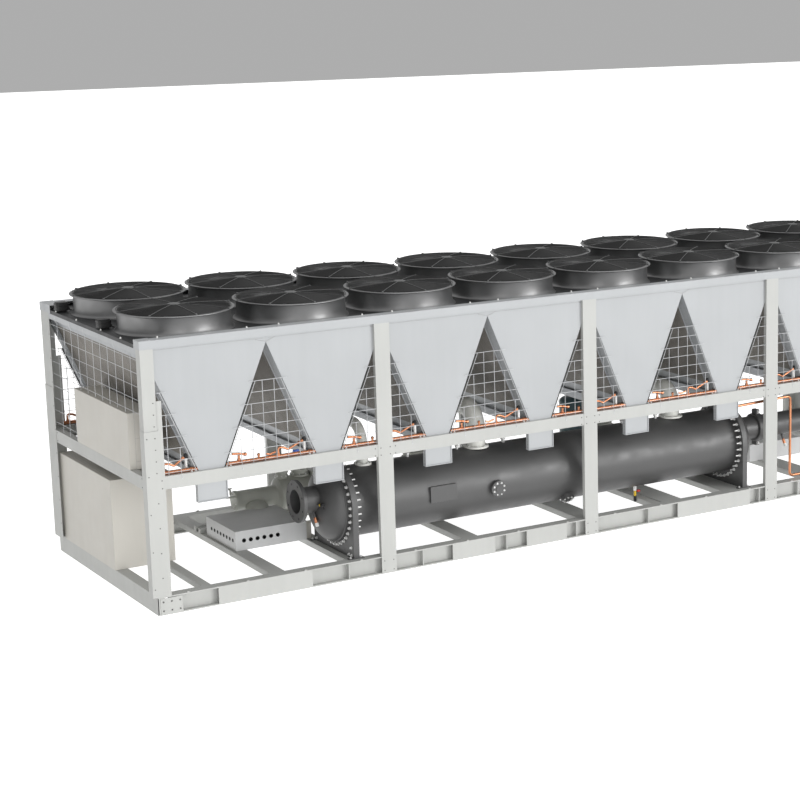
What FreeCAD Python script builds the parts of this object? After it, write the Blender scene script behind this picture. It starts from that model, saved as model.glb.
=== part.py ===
import FreeCAD, Part
import math
import os

os.makedirs("parts", exist_ok=True)

Vec = FreeCAD.Vector

# Overall frame, in millimetres. X runs along the unit, Y from the front to the rear.
bay = 2000.0
bays = 4
vees_per_bay = 2
frame_width = 2260.0
sheet = 3.0

# Base frame of I-beams
beam_height = 150.0
beam_flange = 100.0
beam_flange_thick = 10.0
beam_web = 8.0
splice_plate_thick = 12.0
corner_plate_width = 180.0
stiffener_thick = 8.0
corner_plate_start = 20.0
corner_plate_low = 4.0
corner_plate_drop = 14.0
post_low = 4.0

# Splice plates that lie flush over the beam's web, and the ribs between them, as x along the front
splice_spans = [(499.0, 1308.0), (2602.0, 3016.0), (3332.0, 3741.0), (4932.0, 5754.0), (6700.0, 7500.0)]
rib_places = [1631.0, 2315.0, 3126.0, 3838.0, 4607.0, 5859.0, 6320.0]

# Posts
post_width = 136.0
post_return = 36.0
corner_low_width = 150.0
corner_top_width = 106.0
corner_overhang = 38.0
corner_seam_rise = 366.0
corner_strip_rise = 232.0
corner_strip_width = 34.0
corner_return = 84.0
corner_rear_return = 200.0
corner_lap = 90.0

# Rails
mid_rail_bottom = 1003.0
mid_rail_height = 104.0
mid_rail_depth = 60.0
top_rail_height = 66.0
top_rail_top = 2178.0
top_rail_depth = 104.0
rail_sheet = 4.0
end_rail_height = 45.0
end_rail_drop = 2.0
cap_size = 112.0
cap_rear_size = 245.0

# V-shaped coil blocks
panel_inset = 40.0
panel_sheet = 3.0
panel_gap = 1.0
vee_foot = 235.0
apex_drop = 70.0
coil_thick = 62.0
coil_gap = 14.0
coil_inset = 100.0
casing_border = 80.0
casing_flange_proud = 28.0
casing_flange_back = 150.0
tray_thick = 4.0
tray_width = 250.0
divider_width = 128.0
cross_beam_width = 60.0
foot_box_width = 250.0
foot_box_depth = 48.0
foot_box_inset = 12.0
foot_box_drop = 152.0

# Fans
fan_side_distance = 630.0
fan_clearance = 30.0
deck_drop = 38.0
deck_sheet = 4.0
deck_gap = 1.0
fan_sides = 16
shroud_height = 167.0
shroud_sheet = 6.0
shroud_flare = 40.0
shroud_flare_width = 28.0
rim_lip = 12.0
rim_lip_width = 30.0
guard_rise = 25.0
guard_disc_radius = 58.0
guard_spokes = 8
guard_bar = 8.0
rotor_blades = 5
rotor_hub_radius = 132.0
rotor_hub_height = 90.0
rotor_tip_gap = 12.0
rotor_blade_thick = 8.0
rotor_blade_width = 140.0
rotor_blade_tilt = 25.0
rotor_blade_root = 92.0
rotor_rise = 50.0
seat = 0.3

# Evaporator shell on its two end plates
shell_radius = 300.0
shell_y = 432.0
shell_z = 550.0
plate_left_x = 1710.0
plate_right_x = 5710.0
plate_thick = 50.0
plate_radius = 380.0
plate_foot_half = 376.0
head_radius = 322.0
head_depth = 150.0
head_skirt = 30.0
head_bands = 4
head_sides = 16
nozzle_z = 615.0
nozzle_radius = 109.0
nozzle_wall = 8.0
nozzle_flange_radius = 180.0
nozzle_flange_thick = 32.0
nozzle_sides = 16
left_flange_x = 1375.0
right_flange_x = 6140.0
outlet_end_x = 7800.0
support_x = 7561.0
support_width = 60.0

# What the shell carries in front: a covered box and two closed ports
cover_x = 2471.0
cover_length = 248.0
cover_height = 137.0
cover_drop = 51.0
port_rise = 14.0
high_port_x = 3122.0
high_port_drop = 17.0
high_port_radius = 72.0
low_port_x = 3890.0
low_port_angle = 50.0
low_port_radius = 60.0
port_reach = 36.0
port_sides = 10

# Copper headers along the middle rails
header_radius = 16.0
header_clearance = 2.0

# Suction pipes from the shell over to the compressors. The rise is from the middle rail's top to the pipe's middle.
pipe_sides = 10
bend_steps = 3
first_pipe_x = 2000.0
first_pipe_radius = 44.5
first_pipe_bend = 168.0
first_pipe_rise = 75.0
second_pipe_x = 3090.0
second_pipe_radius = 81.0
second_pipe_bend = 218.0
second_pipe_rise = 73.0
third_pipe_x = 5150.0
third_pipe_radius = 80.5
third_pipe_bend = 228.0
third_pipe_rise = -1.0

# Compressors on their two rails. The start is the free end of the small barrel.
compressor_rear_distance = 640.0
first_compressor_start = 1330.0
second_compressor_start = 2480.0
third_compressor_start = 5990.0
small_stack_x = 1790.0
small_stack_radius = 60.0
first_stack_x = 1960.0
first_stack_radius = 85.0
stack_radius = 105.0
stack_flange_low = 520.0
stack_neck_share = 0.74
compressor_z = 370.0
compressor_sides = 10
barrel_radius = 88.0
barrel_length = 400.0
housing_radius = 150.0
housing_length = 720.0
joint_radius = 172.0
joint_thick = 36.0
joint_place = 420.0
stack_top = 600.0
foot_length = 60.0
foot_half_width = 70.0
skid_height = 40.0
skid_width = 40.0
skid_start = 985.0
skid_end = 6700.0

# Oil separator vessel
vessel_x = 4700.0
vessel_offset = 196.0
vessel_radius = 125.0
vessel_top = 935.0
vessel_plate = 8.0
vessel_plate_reach = 80.0
vessel_dome = 62.0
vessel_shoulder = 19.0
vessel_shoulder_radius = 94.0
vessel_crown_radius = 44.0

# Sheet boxes
cable_box_front = 845.0
cable_box_gap = 5.0
cable_box_height = 170.0
cable_box_x = [(1010.0, 1655.0), (6383.0, 7010.0)]
cable_hole_radius = 18.0
cable_hole_start = 75.0
cable_hole_pitch = 55.0
cable_holes = 6
cable_hole_sides = 6
lower_box_reach = 10.0
lower_box_depth = 515.0
lower_box_width = 1198.0
lower_box_rear_distance = 165.0
lower_box_drop = 98.0
upper_box_front = 345.0
upper_box_width = 1190.0
upper_box_depth = 216.0
upper_box_height = 453.0
upper_box_reach = 36.0
junction_height = 80.0
junction_width = 90.0
junction_overhang = 30.0
junction_gap = 2.4
junction_front_offset = 240.0
junction_rear_offset = 225.0

# Base cross members: two of their own, and one under each thing that stands on the base, as x from and to
member_sheet = 8.0
member_spans = [
    (400.0, 478.0), (skid_start, skid_start + 125.0), (plate_left_x - 60.0, plate_left_x + 58.0),
    (2750.0, 2900.0), (3900.0, 4100.0), (vessel_x + 20.0, vessel_x + 100.0), (vessel_x + 120.0, vessel_x + 335.0),
    (plate_right_x - 215.0, plate_right_x + 58.0), (skid_end - 220.0, skid_end), (support_x - 39.0, support_x + 39.0),
]

length = bay * bays
vees = bays * vees_per_bay
vee_pitch = bay / vees_per_bay
fan_pitch = vee_pitch
fan_row_spacing = frame_width - 2 * fan_side_distance
top_rail_bottom = top_rail_top - top_rail_height
mid_rail_top = mid_rail_bottom + mid_rail_height
corner_seam_height = mid_rail_top + corner_seam_rise
deck_top = top_rail_top - deck_drop
rim_height = deck_top + shroud_height
shroud_foot_radius = min(fan_pitch, fan_row_spacing) / 2 - fan_clearance
shroud_radius = shroud_foot_radius - shroud_flare_width
shroud_inner_radius = shroud_radius - shroud_sheet
rotor_low = deck_top + rotor_rise
nozzle_bore = nozzle_radius - nozzle_wall
compressor_y = frame_width - compressor_rear_distance
coil_top = top_rail_bottom - apex_drop
header_y = panel_inset + panel_sheet + seat + header_radius


def place(shape):
    """Moves a shape from the front left corner frame to the centre of the base."""
    return shape.translated(Vec(-length / 2, -frame_width / 2, 0))


def save(name, solids):
    """Writes the solids of one sub-part as one file."""
    shape = solids[0] if len(solids) == 1 else Part.makeCompound(solids)
    place(shape).exportStep("parts/" + name + ".step")


def block(x0, x1, y0, y1, z0, z1):
    """A box between two corners."""
    return Part.makeBox(x1 - x0, y1 - y0, z1 - z0, Vec(x0, y0, z0))


def prism(points, direction):
    """A solid swept from a flat outline."""
    wire = Part.makePolygon(points + [points[0]])
    return Part.Face(wire).extrude(direction)


def fused(solids):
    """One solid from several that meet."""
    shape = solids[0]
    for solid in solids[1:]:
        shape = shape.fuse(solid)
    return shape.removeSplitter()


def faceted(points, centre, sides, axis="z"):
    """A solid like a turned one, but with flat sides, from distance-along-the-axis and radius pairs."""
    turn = 2 * math.pi / sides

    def corner(pair, k):
        along, radius = pair
        u = radius * math.cos(turn * k)
        v = radius * math.sin(turn * k)
        if axis == "x":
            return centre + Vec(along, u, v)
        return centre + Vec(u, v, along)

    faces = []
    for i, start in enumerate(points):
        stop = points[(i + 1) % len(points)]
        if start[1] == 0 and stop[1] == 0:
            continue
        if start[1] == 0 or stop[1] == 0:
            pair = stop if start[1] == 0 else start
            ring = [corner(pair, k) for k in range(sides)]
            faces.append(Part.Face(Part.makePolygon(ring + [ring[0]])))
            continue
        for k in range(sides):
            quad = [corner(start, k), corner(stop, k), corner(stop, k + 1), corner(start, k + 1)]
            faces.append(Part.Face(Part.makePolygon(quad + [quad[0]])))
    solid = Part.Solid(Part.makeShell(faces))
    if solid.Volume < 0:
        solid.reverse()
    return solid


def rod_x(x0, x1, y, z, radius):
    """A round bar along X."""
    return Part.makeCylinder(radius, x1 - x0, Vec(x0, y, z), Vec(1, 0, 0))


def mirrored_front_back(shape):
    """The same shape on the other long side."""
    return shape.mirror(Vec(0, frame_width / 2, 0), Vec(0, 1, 0))


def mirrored_left_right(shape):
    """The same shape at the other end."""
    return shape.mirror(Vec(length / 2, 0, 0), Vec(1, 0, 0))


def i_section(y0):
    """The outline of an I-beam that runs along X, as y and z pairs."""
    y1 = y0 + beam_flange
    web0 = y0 + (beam_flange - beam_web) / 2
    web1 = web0 + beam_web
    low = beam_flange_thick
    high = beam_height - beam_flange_thick
    return [
        (y0, 0), (y1, 0), (y1, low), (web1, low), (web1, high), (y1, high),
        (y1, beam_height), (y0, beam_height), (y0, high), (web0, high), (web0, low), (y0, low),
    ]


def long_beam():
    """The front base beam with its splice plates, ribs and corner plates welded on."""
    start = beam_flange
    end = length - beam_flange
    outline = [Vec(start, y, z) for y, z in i_section(0)]
    pieces = [prism(outline, Vec(end - start, 0, 0))]
    low = beam_flange_thick
    high = beam_height - beam_flange_thick
    web = (beam_flange - beam_web) / 2
    for x0, x1 in splice_spans:
        pieces.append(block(x0, x1, 0, splice_plate_thick, low, high))
    for x in rib_places:
        pieces.append(block(x, x + stiffener_thick, 0, web, low, high))
    return fused(pieces)


def end_beam():
    """The base beam across the left end, with the plate that closes the corner."""
    outline = [Vec(x, 0, z) for x, z in i_section(0)]
    return prism(outline, Vec(0, frame_width, 0))


def corner_plate():
    """The plate bolted over the front left corner of the base."""
    x0 = corner_plate_start
    return block(x0, x0 + corner_plate_width, -sheet, 0, corner_plate_low, beam_height - corner_plate_drop)


def cross_channel(x0, x1):
    """A base cross member, a channel with its open side down, between the long beams' webs."""
    low = beam_flange_thick
    y0 = beam_flange
    y1 = frame_width - beam_flange
    outer = block(x0, x1, y0, y1, low, beam_height)
    inner = block(x0 + member_sheet, x1 - member_sheet, y0, y1, low, beam_height - member_sheet)
    return outer.cut(inner)


def middle_post(x):
    """A front post: a sheet channel whose face runs down over the base beam."""
    x0 = x - post_width / 2
    x1 = x + post_width / 2
    face = block(x0, x1, -sheet, 0, post_low, top_rail_bottom)
    left = block(x0, x0 + sheet, 0, post_return, beam_height, mid_rail_bottom)
    right = block(x1 - sheet, x1, 0, post_return, beam_height, mid_rail_bottom)
    left_top = block(x0, x0 + sheet, 0, post_return, mid_rail_top, top_rail_bottom)
    right_top = block(x1 - sheet, x1, 0, post_return, mid_rail_top, top_rail_bottom)
    return fused([face, left, right, left_top, right_top])


def corner_post_low(side_return):
    """The lower corner post: a wide face with a strip that rises beside the upper post, and its side."""
    x0 = -corner_overhang
    x1 = x0 + corner_low_width
    strip = x1 - corner_strip_width
    strip_top = corner_seam_height + corner_strip_rise
    face = prism(
        [
            Vec(x0, -sheet, beam_height), Vec(x1, -sheet, beam_height),
            Vec(x1, -sheet, strip_top), Vec(strip, -sheet, strip_top),
            Vec(strip, -sheet, corner_seam_height), Vec(x0, -sheet, corner_seam_height),
        ],
        Vec(0, sheet, 0),
    )
    side = block(x0, x0 + sheet, 0, side_return, beam_height, corner_seam_height)
    foot = block(x0, x1, 0, corner_return, beam_height, beam_height + sheet)
    return fused([face, side, foot])


def corner_post_top(side_return):
    """The upper corner post, lapped inside the lower one."""
    x0 = -corner_overhang + sheet
    x1 = x0 + corner_top_width
    low = corner_seam_height - corner_lap
    face = block(x0, x1, 0, sheet, low, top_rail_top)
    side = block(x0, x0 + sheet, sheet, side_return, low, top_rail_bottom)
    return fused([face, side])


def on_four_corners(front, rear):
    """One piece at both front corners and its fellow, drawn as if in front, at both rear corners."""
    corners = [front, mirrored_left_right(front)]
    return corners + [mirrored_front_back(rear), mirrored_front_back(mirrored_left_right(rear))]


def rail_channel_along_x(x0, x1, y0, depth, z0, z1, thick):
    """A sheet channel along X with its web at the front."""
    web = block(x0, x1, y0, y0 + thick, z0, z1)
    low = block(x0, x1, y0 + thick, y0 + depth, z0, z0 + thick)
    high = block(x0, x1, y0 + thick, y0 + depth, z1 - thick, z1)
    return fused([web, low, high])


def rail_channel_along_y(y0, y1, x0, depth, z0, z1, thick):
    """A sheet channel along Y with its web at the left end."""
    web = block(x0, x0 + thick, y0, y1, z0, z1)
    low = block(x0 + thick, x0 + depth, y0, y1, z0, z0 + thick)
    high = block(x0 + thick, x0 + depth, y0, y1, z1 - thick, z1)
    return fused([web, low, high])


def corner_cap(depth):
    """The folded cap over a top corner."""
    x0 = -corner_overhang
    outer = block(x0, x0 + cap_size, -sheet, depth, top_rail_bottom, top_rail_top + sheet)
    inner = block(x0 + sheet, x0 + cap_size, 0, depth, top_rail_bottom, top_rail_top)
    return outer.cut(inner)


def vee_centre(n):
    return vee_pitch * (n + 0.5)


def on_both_sides(shape):
    """The same piece at the front and at the rear."""
    return [shape, mirrored_front_back(shape)]


def vee_panel(n):
    """The flat trapezoid sheet that closes the front of one coil block."""
    x = vee_centre(n)
    half_top = (vee_pitch - panel_gap) / 2
    half_low = vee_foot / 2
    y0 = panel_inset
    outline = [
        Vec(x - half_low, y0, mid_rail_top), Vec(x + half_low, y0, mid_rail_top),
        Vec(x + half_top, y0, coil_top), Vec(x + half_top, y0, top_rail_bottom),
        Vec(x - half_top, y0, top_rail_bottom), Vec(x - half_top, y0, coil_top),
    ]
    return prism(outline, Vec(0, panel_sheet, 0))


def coil_outline(n, side, y, low_cut, high_cut):
    """The sloping outline of a coil between two fractions of its height."""
    x = vee_centre(n)
    foot = x + side * (vee_foot / 2 - coil_gap)
    head_x = x + side * (vee_pitch / 2 - coil_gap)
    corners = []
    for part, inward in ((low_cut, 0), (high_cut, 0), (high_cut, 1), (low_cut, 1)):
        px = foot + (head_x - foot) * part - side * coil_thick * inward
        pz = mid_rail_top + (coil_top - mid_rail_top) * part
        corners.append(Vec(px, y, pz))
    return corners


def coil_core(n, side):
    """The finned core of one sloping coil: side -1 leans left, side 1 leans right."""
    border = casing_border / (coil_top - mid_rail_top)
    y0 = coil_inset + casing_border
    outline = coil_outline(n, side, y0, border, 1 - border / 2)
    return prism(outline, Vec(0, frame_width - 2 * y0, 0))


def casing_flange(n, side):
    """The folded flange along the front of one coil: a sheet proud of the panel's edge, on a web to the casing."""
    x = vee_centre(n)
    spread = (vee_pitch - vee_foot) / 2
    limit = (vee_pitch - panel_gap) / 2
    low = mid_rail_top + 2 * header_radius + header_clearance
    low_edge = vee_foot / 2 + spread * (low - mid_rail_top) / (coil_top - mid_rail_top)
    meet = coil_top - (casing_flange_proud + vee_foot / 2 + spread - limit) / spread * (coil_top - mid_rail_top)
    front = panel_inset + panel_sheet + seat
    outer = [(low_edge + casing_flange_proud, low), (limit, meet), (limit, coil_top - seat)]
    inner = [(reach - panel_sheet, z) for reach, z in reversed(outer)]
    rooted = coil_gap + panel_sheet
    seated = [(vee_pitch / 2 - rooted, coil_top - seat), (low_edge - rooted, low)]
    sheet_outline = [Vec(x + side * reach, front, z) for reach, z in outer + inner]
    web_y = casing_flange_back - panel_sheet
    web_outline = [Vec(x + side * reach, web_y, z) for reach, z in outer + seated]
    return fused([
        prism(sheet_outline, Vec(0, casing_flange_back - front, 0)), prism(web_outline, Vec(0, panel_sheet, 0)),
    ])


def coil_casing(n, side):
    """The sheet frame round one coil core, with a folded flange at its front and rear."""
    border = casing_border / (coil_top - mid_rail_top)
    whole = prism(coil_outline(n, side, coil_inset, 0, 1), Vec(0, frame_width - 2 * coil_inset, 0))
    y0 = coil_inset + casing_border
    inner = prism(coil_outline(n, side, y0, border, 1 - border / 2), Vec(0, frame_width - 2 * y0, 0))
    flange = casing_flange(n, side)
    return fused([whole.cut(inner), flange, mirrored_front_back(flange)])


def tray(n):
    """The tray under a coil block, between the long rails."""
    x = vee_centre(n)
    half = tray_width / 2
    return block(
        x - half, x + half, mid_rail_depth, frame_width - mid_rail_depth,
        mid_rail_top - tray_thick, mid_rail_top,
    )


def cross_beam(n):
    """The beam that carries a tray, between the flanges of the long rails."""
    x = vee_centre(n)
    half = cross_beam_width / 2
    return block(
        x - half, x + half, mid_rail_depth, frame_width - mid_rail_depth,
        mid_rail_bottom, mid_rail_top - tray_thick,
    )


def divider(n):
    """The closing beam that lies on the tops of two neighbouring coils, up to the deck."""
    reach = mid_rail_depth - corner_overhang + sheet
    x0 = max(vee_pitch * n - divider_width / 2, reach)
    x1 = min(vee_pitch * n + divider_width / 2, length - reach)
    y0 = coil_inset
    return block(x0, x1, y0, frame_width - y0, coil_top, deck_top - deck_sheet)


def foot_box(n):
    """The sheet box that hangs under the middle rail below one coil block."""
    x = vee_centre(n)
    half = foot_box_width / 2
    return block(
        x - half, x + half, foot_box_inset, foot_box_inset + foot_box_depth,
        mid_rail_bottom - foot_box_drop, mid_rail_bottom,
    )


def fan_centres():
    rows = [fan_side_distance, frame_width - fan_side_distance]
    return [(fan_pitch * (n + 0.5), y) for n in range(vees) for y in rows]


def fan_deck(n):
    """The deck over one bay, with its four round openings. It folds down over the unit's ends."""
    edge = cap_size - corner_overhang
    y0 = rail_sheet - sheet
    low = deck_top - deck_sheet
    x0 = n * bay + (edge if n == 0 else deck_gap / 2)
    x1 = (n + 1) * bay - (edge if n == bays - 1 else deck_gap / 2)
    deck = block(x0, x1, y0, frame_width - y0, low, deck_top)
    tongue = block(-corner_overhang + sheet, edge, cap_size, frame_width - cap_rear_size, low, deck_top)
    lip_x = -corner_overhang + sheet
    lip_low = top_rail_bottom - end_rail_drop
    lip = block(lip_x, lip_x + rail_sheet, cap_size, frame_width - cap_rear_size, lip_low, low)
    if n == 0:
        deck = fused([deck, tongue, lip])
    if n == bays - 1:
        deck = fused([deck, mirrored_left_right(tongue), mirrored_left_right(lip)])
    for x, y in fan_centres():
        if n * bay < x < (n + 1) * bay:
            radius = shroud_inner_radius
            outline = [(low, 0), (low, radius), (deck_top, radius), (deck_top, 0)]
            deck = deck.cut(faceted(outline, Vec(x, y, 0), fan_sides))
    return deck


def fan_shroud(x, y):
    """The round housing of a fan with its flared foot and rolled rim."""
    outline = [
        (deck_top, shroud_inner_radius), (deck_top, shroud_foot_radius), (deck_top + shroud_flare, shroud_radius),
        (rim_height - rim_lip, shroud_radius), (rim_height, shroud_radius + rim_lip_width),
        (rim_height, shroud_inner_radius),
    ]
    return faceted(outline, Vec(x, y, 0), fan_sides)


def fan_guard(x, y):
    """The guard's middle disc and its spokes, which rest on the rim."""
    top = rim_height + guard_rise
    sides = guard_spokes
    turn = 2 * math.pi / sides
    angles = [turn * (k + 0.5) for k in range(sides)]
    rim = [Vec(x + guard_disc_radius * math.cos(a), y + guard_disc_radius * math.sin(a), top) for a in angles]
    disc = prism(rim, Vec(0, 0, guard_bar))
    flat = guard_disc_radius * math.cos(turn / 2)
    end = shroud_radius
    pieces = [disc]
    for k in range(guard_spokes):
        spoke = prism(
            [
                Vec(x + flat, y - guard_bar / 2, top), Vec(x + end, y - guard_bar / 2, rim_height),
                Vec(x + end, y - guard_bar / 2, rim_height + guard_bar),
                Vec(x + flat, y - guard_bar / 2, top + guard_bar),
            ],
            Vec(0, guard_bar, 0),
        )
        spoke.rotate(Vec(x, y, 0), Vec(0, 0, 1), k * 360.0 / guard_spokes)
        pieces.append(spoke)
    return fused(pieces)


def fan_rotor(x, y):
    """A fan's hub on its motor, which hangs from the guard's disc, with sloping blades."""
    hub_top = rotor_low + rotor_hub_height
    motor_top = rim_height + guard_rise
    outline = [
        (rotor_low, 0), (rotor_low, rotor_hub_radius), (hub_top, rotor_hub_radius),
        (hub_top, guard_disc_radius), (motor_top, guard_disc_radius), (motor_top, 0),
    ]
    hub = faceted(outline, Vec(x, y, 0), rotor_blades)
    hub.rotate(Vec(x, y, 0), Vec(0, 0, 1), 180.0 / rotor_blades)
    pieces = [hub]
    middle = rotor_low + rotor_hub_height / 2
    tip = shroud_inner_radius - rotor_tip_gap
    half = rotor_blade_width / 2
    for k in range(rotor_blades):
        blade = block(
            x + rotor_blade_root, x + tip, y - half, y + half,
            middle - rotor_blade_thick / 2, middle + rotor_blade_thick / 2,
        )
        blade.rotate(Vec(x, y, middle), Vec(1, 0, 0), rotor_blade_tilt)
        blade.rotate(Vec(x, y, 0), Vec(0, 0, 1), k * 360.0 / rotor_blades)
        pieces.append(blade)
    return fused(pieces)


def head(x, direction):
    """The domed head bolted to an end plate, with a flat skirt. Direction -1 bulges to the left."""
    points = [(0, 0), (0, head_radius), (direction * head_skirt, head_radius)]
    last = math.pi / 2 * (head_bands - 1) / head_bands
    for k in range(1, head_bands):
        angle = k * math.pi / 2 / head_bands
        bulge = head_depth * math.sin(angle) / math.sin(last)
        points.append((direction * (head_skirt + bulge), head_radius * math.cos(angle)))
    points.append((direction * (head_skirt + head_depth), 0))
    return faceted(points, Vec(x, shell_y, shell_z), head_sides, "x")


def shell():
    """The long shell with the cover of its sensor box and two closed ports."""
    body = rod_x(plate_left_x + plate_thick, plate_right_x, shell_y, shell_z, shell_radius)
    front = shell_y - shell_radius
    cover_low = shell_z - cover_drop
    cover = block(
        cover_x, cover_x + cover_length, front - port_rise, shell_y, cover_low, cover_low + cover_height,
    )
    reach = shell_radius + port_reach
    outline = [(0, 0), (0, high_port_radius), (reach, high_port_radius), (reach, 0)]
    high_port = faceted(outline, Vec(high_port_x, shell_y, shell_z - high_port_drop), port_sides)
    high_port.rotate(Vec(high_port_x, shell_y, shell_z - high_port_drop), Vec(1, 0, 0), 90)
    outline = [(0, 0), (0, low_port_radius), (reach, low_port_radius), (reach, 0)]
    low_port = faceted(outline, Vec(low_port_x, shell_y, shell_z), port_sides)
    low_port.rotate(Vec(low_port_x, shell_y, shell_z), Vec(1, 0, 0), 90 + low_port_angle)
    return fused([body, cover, high_port, low_port])


def end_plate(x):
    """A thick plate, round above and straight below, that carries the shell on the base."""
    left = Vec(x, shell_y - plate_radius, shell_z)
    top = Vec(x, shell_y, shell_z + plate_radius)
    right = Vec(x, shell_y + plate_radius, shell_z)
    foot_left = Vec(x, shell_y - plate_foot_half, beam_height)
    foot_right = Vec(x, shell_y + plate_foot_half, beam_height)
    edges = [
        Part.Arc(left, top, right).toShape(),
        Part.LineSegment(right, foot_right).toShape(),
        Part.LineSegment(foot_right, foot_left).toShape(),
        Part.LineSegment(foot_left, left).toShape(),
    ]
    return Part.Face(Part.Wire(edges)).extrude(Vec(plate_thick, 0, 0))


def flanged_pipe(x0, x1, flange_at_start):
    """A water pipe along X with a flat ring flange at one end."""
    thick = nozzle_flange_thick
    if flange_at_start:
        points = [
            (x0, nozzle_bore), (x1, nozzle_bore), (x1, nozzle_radius), (x0 + thick, nozzle_radius),
            (x0 + thick, nozzle_flange_radius), (x0, nozzle_flange_radius),
        ]
    else:
        points = [
            (x0, nozzle_bore), (x1, nozzle_bore), (x1, nozzle_flange_radius), (x1 - thick, nozzle_flange_radius),
            (x1 - thick, nozzle_radius), (x0, nozzle_radius),
        ]
    return faceted(points, Vec(0, shell_y, nozzle_z), nozzle_sides, "x")


def outlet_pipe():
    """The pipe that carries the water on to the right end, with a flange at both ends."""
    x0 = right_flange_x
    x1 = outlet_end_x
    thick = nozzle_flange_thick
    points = [
        (x0, nozzle_bore), (x1, nozzle_bore), (x1, nozzle_flange_radius), (x1 - thick, nozzle_flange_radius),
        (x1 - thick, nozzle_radius), (x0 + thick, nozzle_radius), (x0 + thick, nozzle_flange_radius),
        (x0, nozzle_flange_radius),
    ]
    return faceted(points, Vec(0, shell_y, nozzle_z), nozzle_sides, "x")


def pipe_support():
    """The column under the outlet pipe, on a base cross member."""
    half = support_width / 2
    column = block(support_x - half, support_x + half, shell_y - half, shell_y + half, beam_height, nozzle_z)
    outline = [(-bay, 0), (-bay, nozzle_radius), (bay, nozzle_radius), (bay, 0)]
    return column.cut(faceted(outline, Vec(support_x, shell_y, nozzle_z), nozzle_sides, "x"))


def header():
    """The copper pipe that lies on the middle rail behind the coil blocks' feet."""
    z = mid_rail_top + header_radius - seat
    return rod_x(corner_return, length - corner_return, header_y, z, header_radius)


def suction_pipe(x, radius, bend, rise):
    """A suction pipe that rises from the shell, runs to the rear and comes down on a compressor."""
    height = mid_rail_top + rise
    route = [(shell_y, shell_z + shell_radius / 2)]
    for k in range(bend_steps + 1):
        angle = k * math.pi / 2 / bend_steps
        route.append((shell_y + bend * (1 - math.cos(angle)), height - bend * (1 - math.sin(angle))))
    for k in range(bend_steps + 1):
        angle = k * math.pi / 2 / bend_steps
        route.append((compressor_y - bend * (1 - math.sin(angle)), height - bend * (1 - math.cos(angle))))
    route.append((compressor_y, stack_top))
    path = Part.makePolygon([Vec(x, y, z) for y, z in route])
    turn = 2 * math.pi / pipe_sides
    ring = [
        Vec(x + radius * math.cos(turn * k), route[0][0] + radius * math.sin(turn * k), route[0][1])
        for k in range(pipe_sides)
    ]
    section = Part.makePolygon(ring + [ring[0]])
    swept = path.makePipeShell([section], True, False, 1)
    return swept.cut(rod_x(x - bay, x + bay, shell_y, shell_z, shell_radius))


def compressor(x, direction, stacks):
    """A compressor along X on two feet. Its small barrel is on the left for direction 1."""
    far = barrel_length + housing_length
    flange = barrel_length + joint_place
    points = [
        (0, 0), (0, barrel_radius), (barrel_length, barrel_radius), (barrel_length, housing_radius),
        (flange, housing_radius), (flange, joint_radius), (flange + joint_thick, joint_radius),
        (flange + joint_thick, housing_radius), (far, housing_radius), (far, 0),
    ]
    outline = [(direction * px, pr) for px, pr in points]
    body = faceted(outline, Vec(x, compressor_y, compressor_z), compressor_sides, "x")
    skid_top = beam_height + skid_height
    pieces = [body]
    for at in (barrel_length + foot_length, far - 2 * foot_length):
        x0 = x + direction * at
        x1 = x0 + direction * foot_length
        pieces.append(block(
            min(x0, x1), max(x0, x1), compressor_y - foot_half_width, compressor_y + foot_half_width,
            skid_top, compressor_z,
        ))
    for place_x, radius in stacks:
        neck = radius * stack_neck_share
        outline = [
            (compressor_z, 0), (compressor_z, neck), (stack_flange_low, neck), (stack_flange_low, radius),
            (stack_top, radius), (stack_top, 0),
        ]
        pieces.append(faceted(outline, Vec(place_x, compressor_y, 0), compressor_sides))
    return fused(pieces)


def vessel():
    """The upright oil separator with a domed top, on a plate across two base cross members."""
    bottom = beam_height + vessel_plate
    vessel_y = compressor_y - vessel_offset
    points = [
        (bottom, 0), (bottom, vessel_radius), (vessel_top - vessel_dome, vessel_radius),
        (vessel_top - vessel_shoulder, vessel_shoulder_radius), (vessel_top, vessel_crown_radius), (vessel_top, 0),
    ]
    plate = block(
        vessel_x - vessel_radius, vessel_x + vessel_radius + vessel_plate_reach, vessel_y - vessel_radius,
        vessel_y + vessel_radius, beam_height, bottom,
    )
    return fused([faceted(points, Vec(vessel_x, vessel_y, 0), compressor_sides), plate])


def cable_box(x0, x1):
    """A low sheet box on the base cross members, with a row of cable holes in front."""
    y0 = cable_box_front
    y1 = compressor_y - housing_radius - cable_box_gap
    box = block(x0, x1, y0, y1, beam_height, beam_height + cable_box_height)
    turn = 2 * math.pi / cable_hole_sides
    for k in range(cable_holes):
        x = x0 + cable_hole_start + cable_hole_pitch * k
        z = beam_height + cable_box_height / 2
        ring = [
            Vec(x + cable_hole_radius * math.cos(turn * a), y0, z + cable_hole_radius * math.sin(turn * a))
            for a in range(cable_hole_sides)
        ]
        box = box.cut(prism(ring, Vec(0, sheet, 0)))
    return box


def control_box_lower():
    """The tall box that stands on the base at the left end."""
    y1 = frame_width - lower_box_rear_distance
    x0 = -lower_box_reach
    return block(
        x0, x0 + lower_box_depth, y1 - lower_box_width, y1, beam_height, mid_rail_bottom - lower_box_drop,
    )


def control_box_upper():
    """The flat box on the middle rail at the left end."""
    x0 = -upper_box_reach
    y0 = upper_box_front
    return block(
        x0, x0 + upper_box_depth, y0, y0 + upper_box_width, mid_rail_top, mid_rail_top + upper_box_height,
    )


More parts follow.
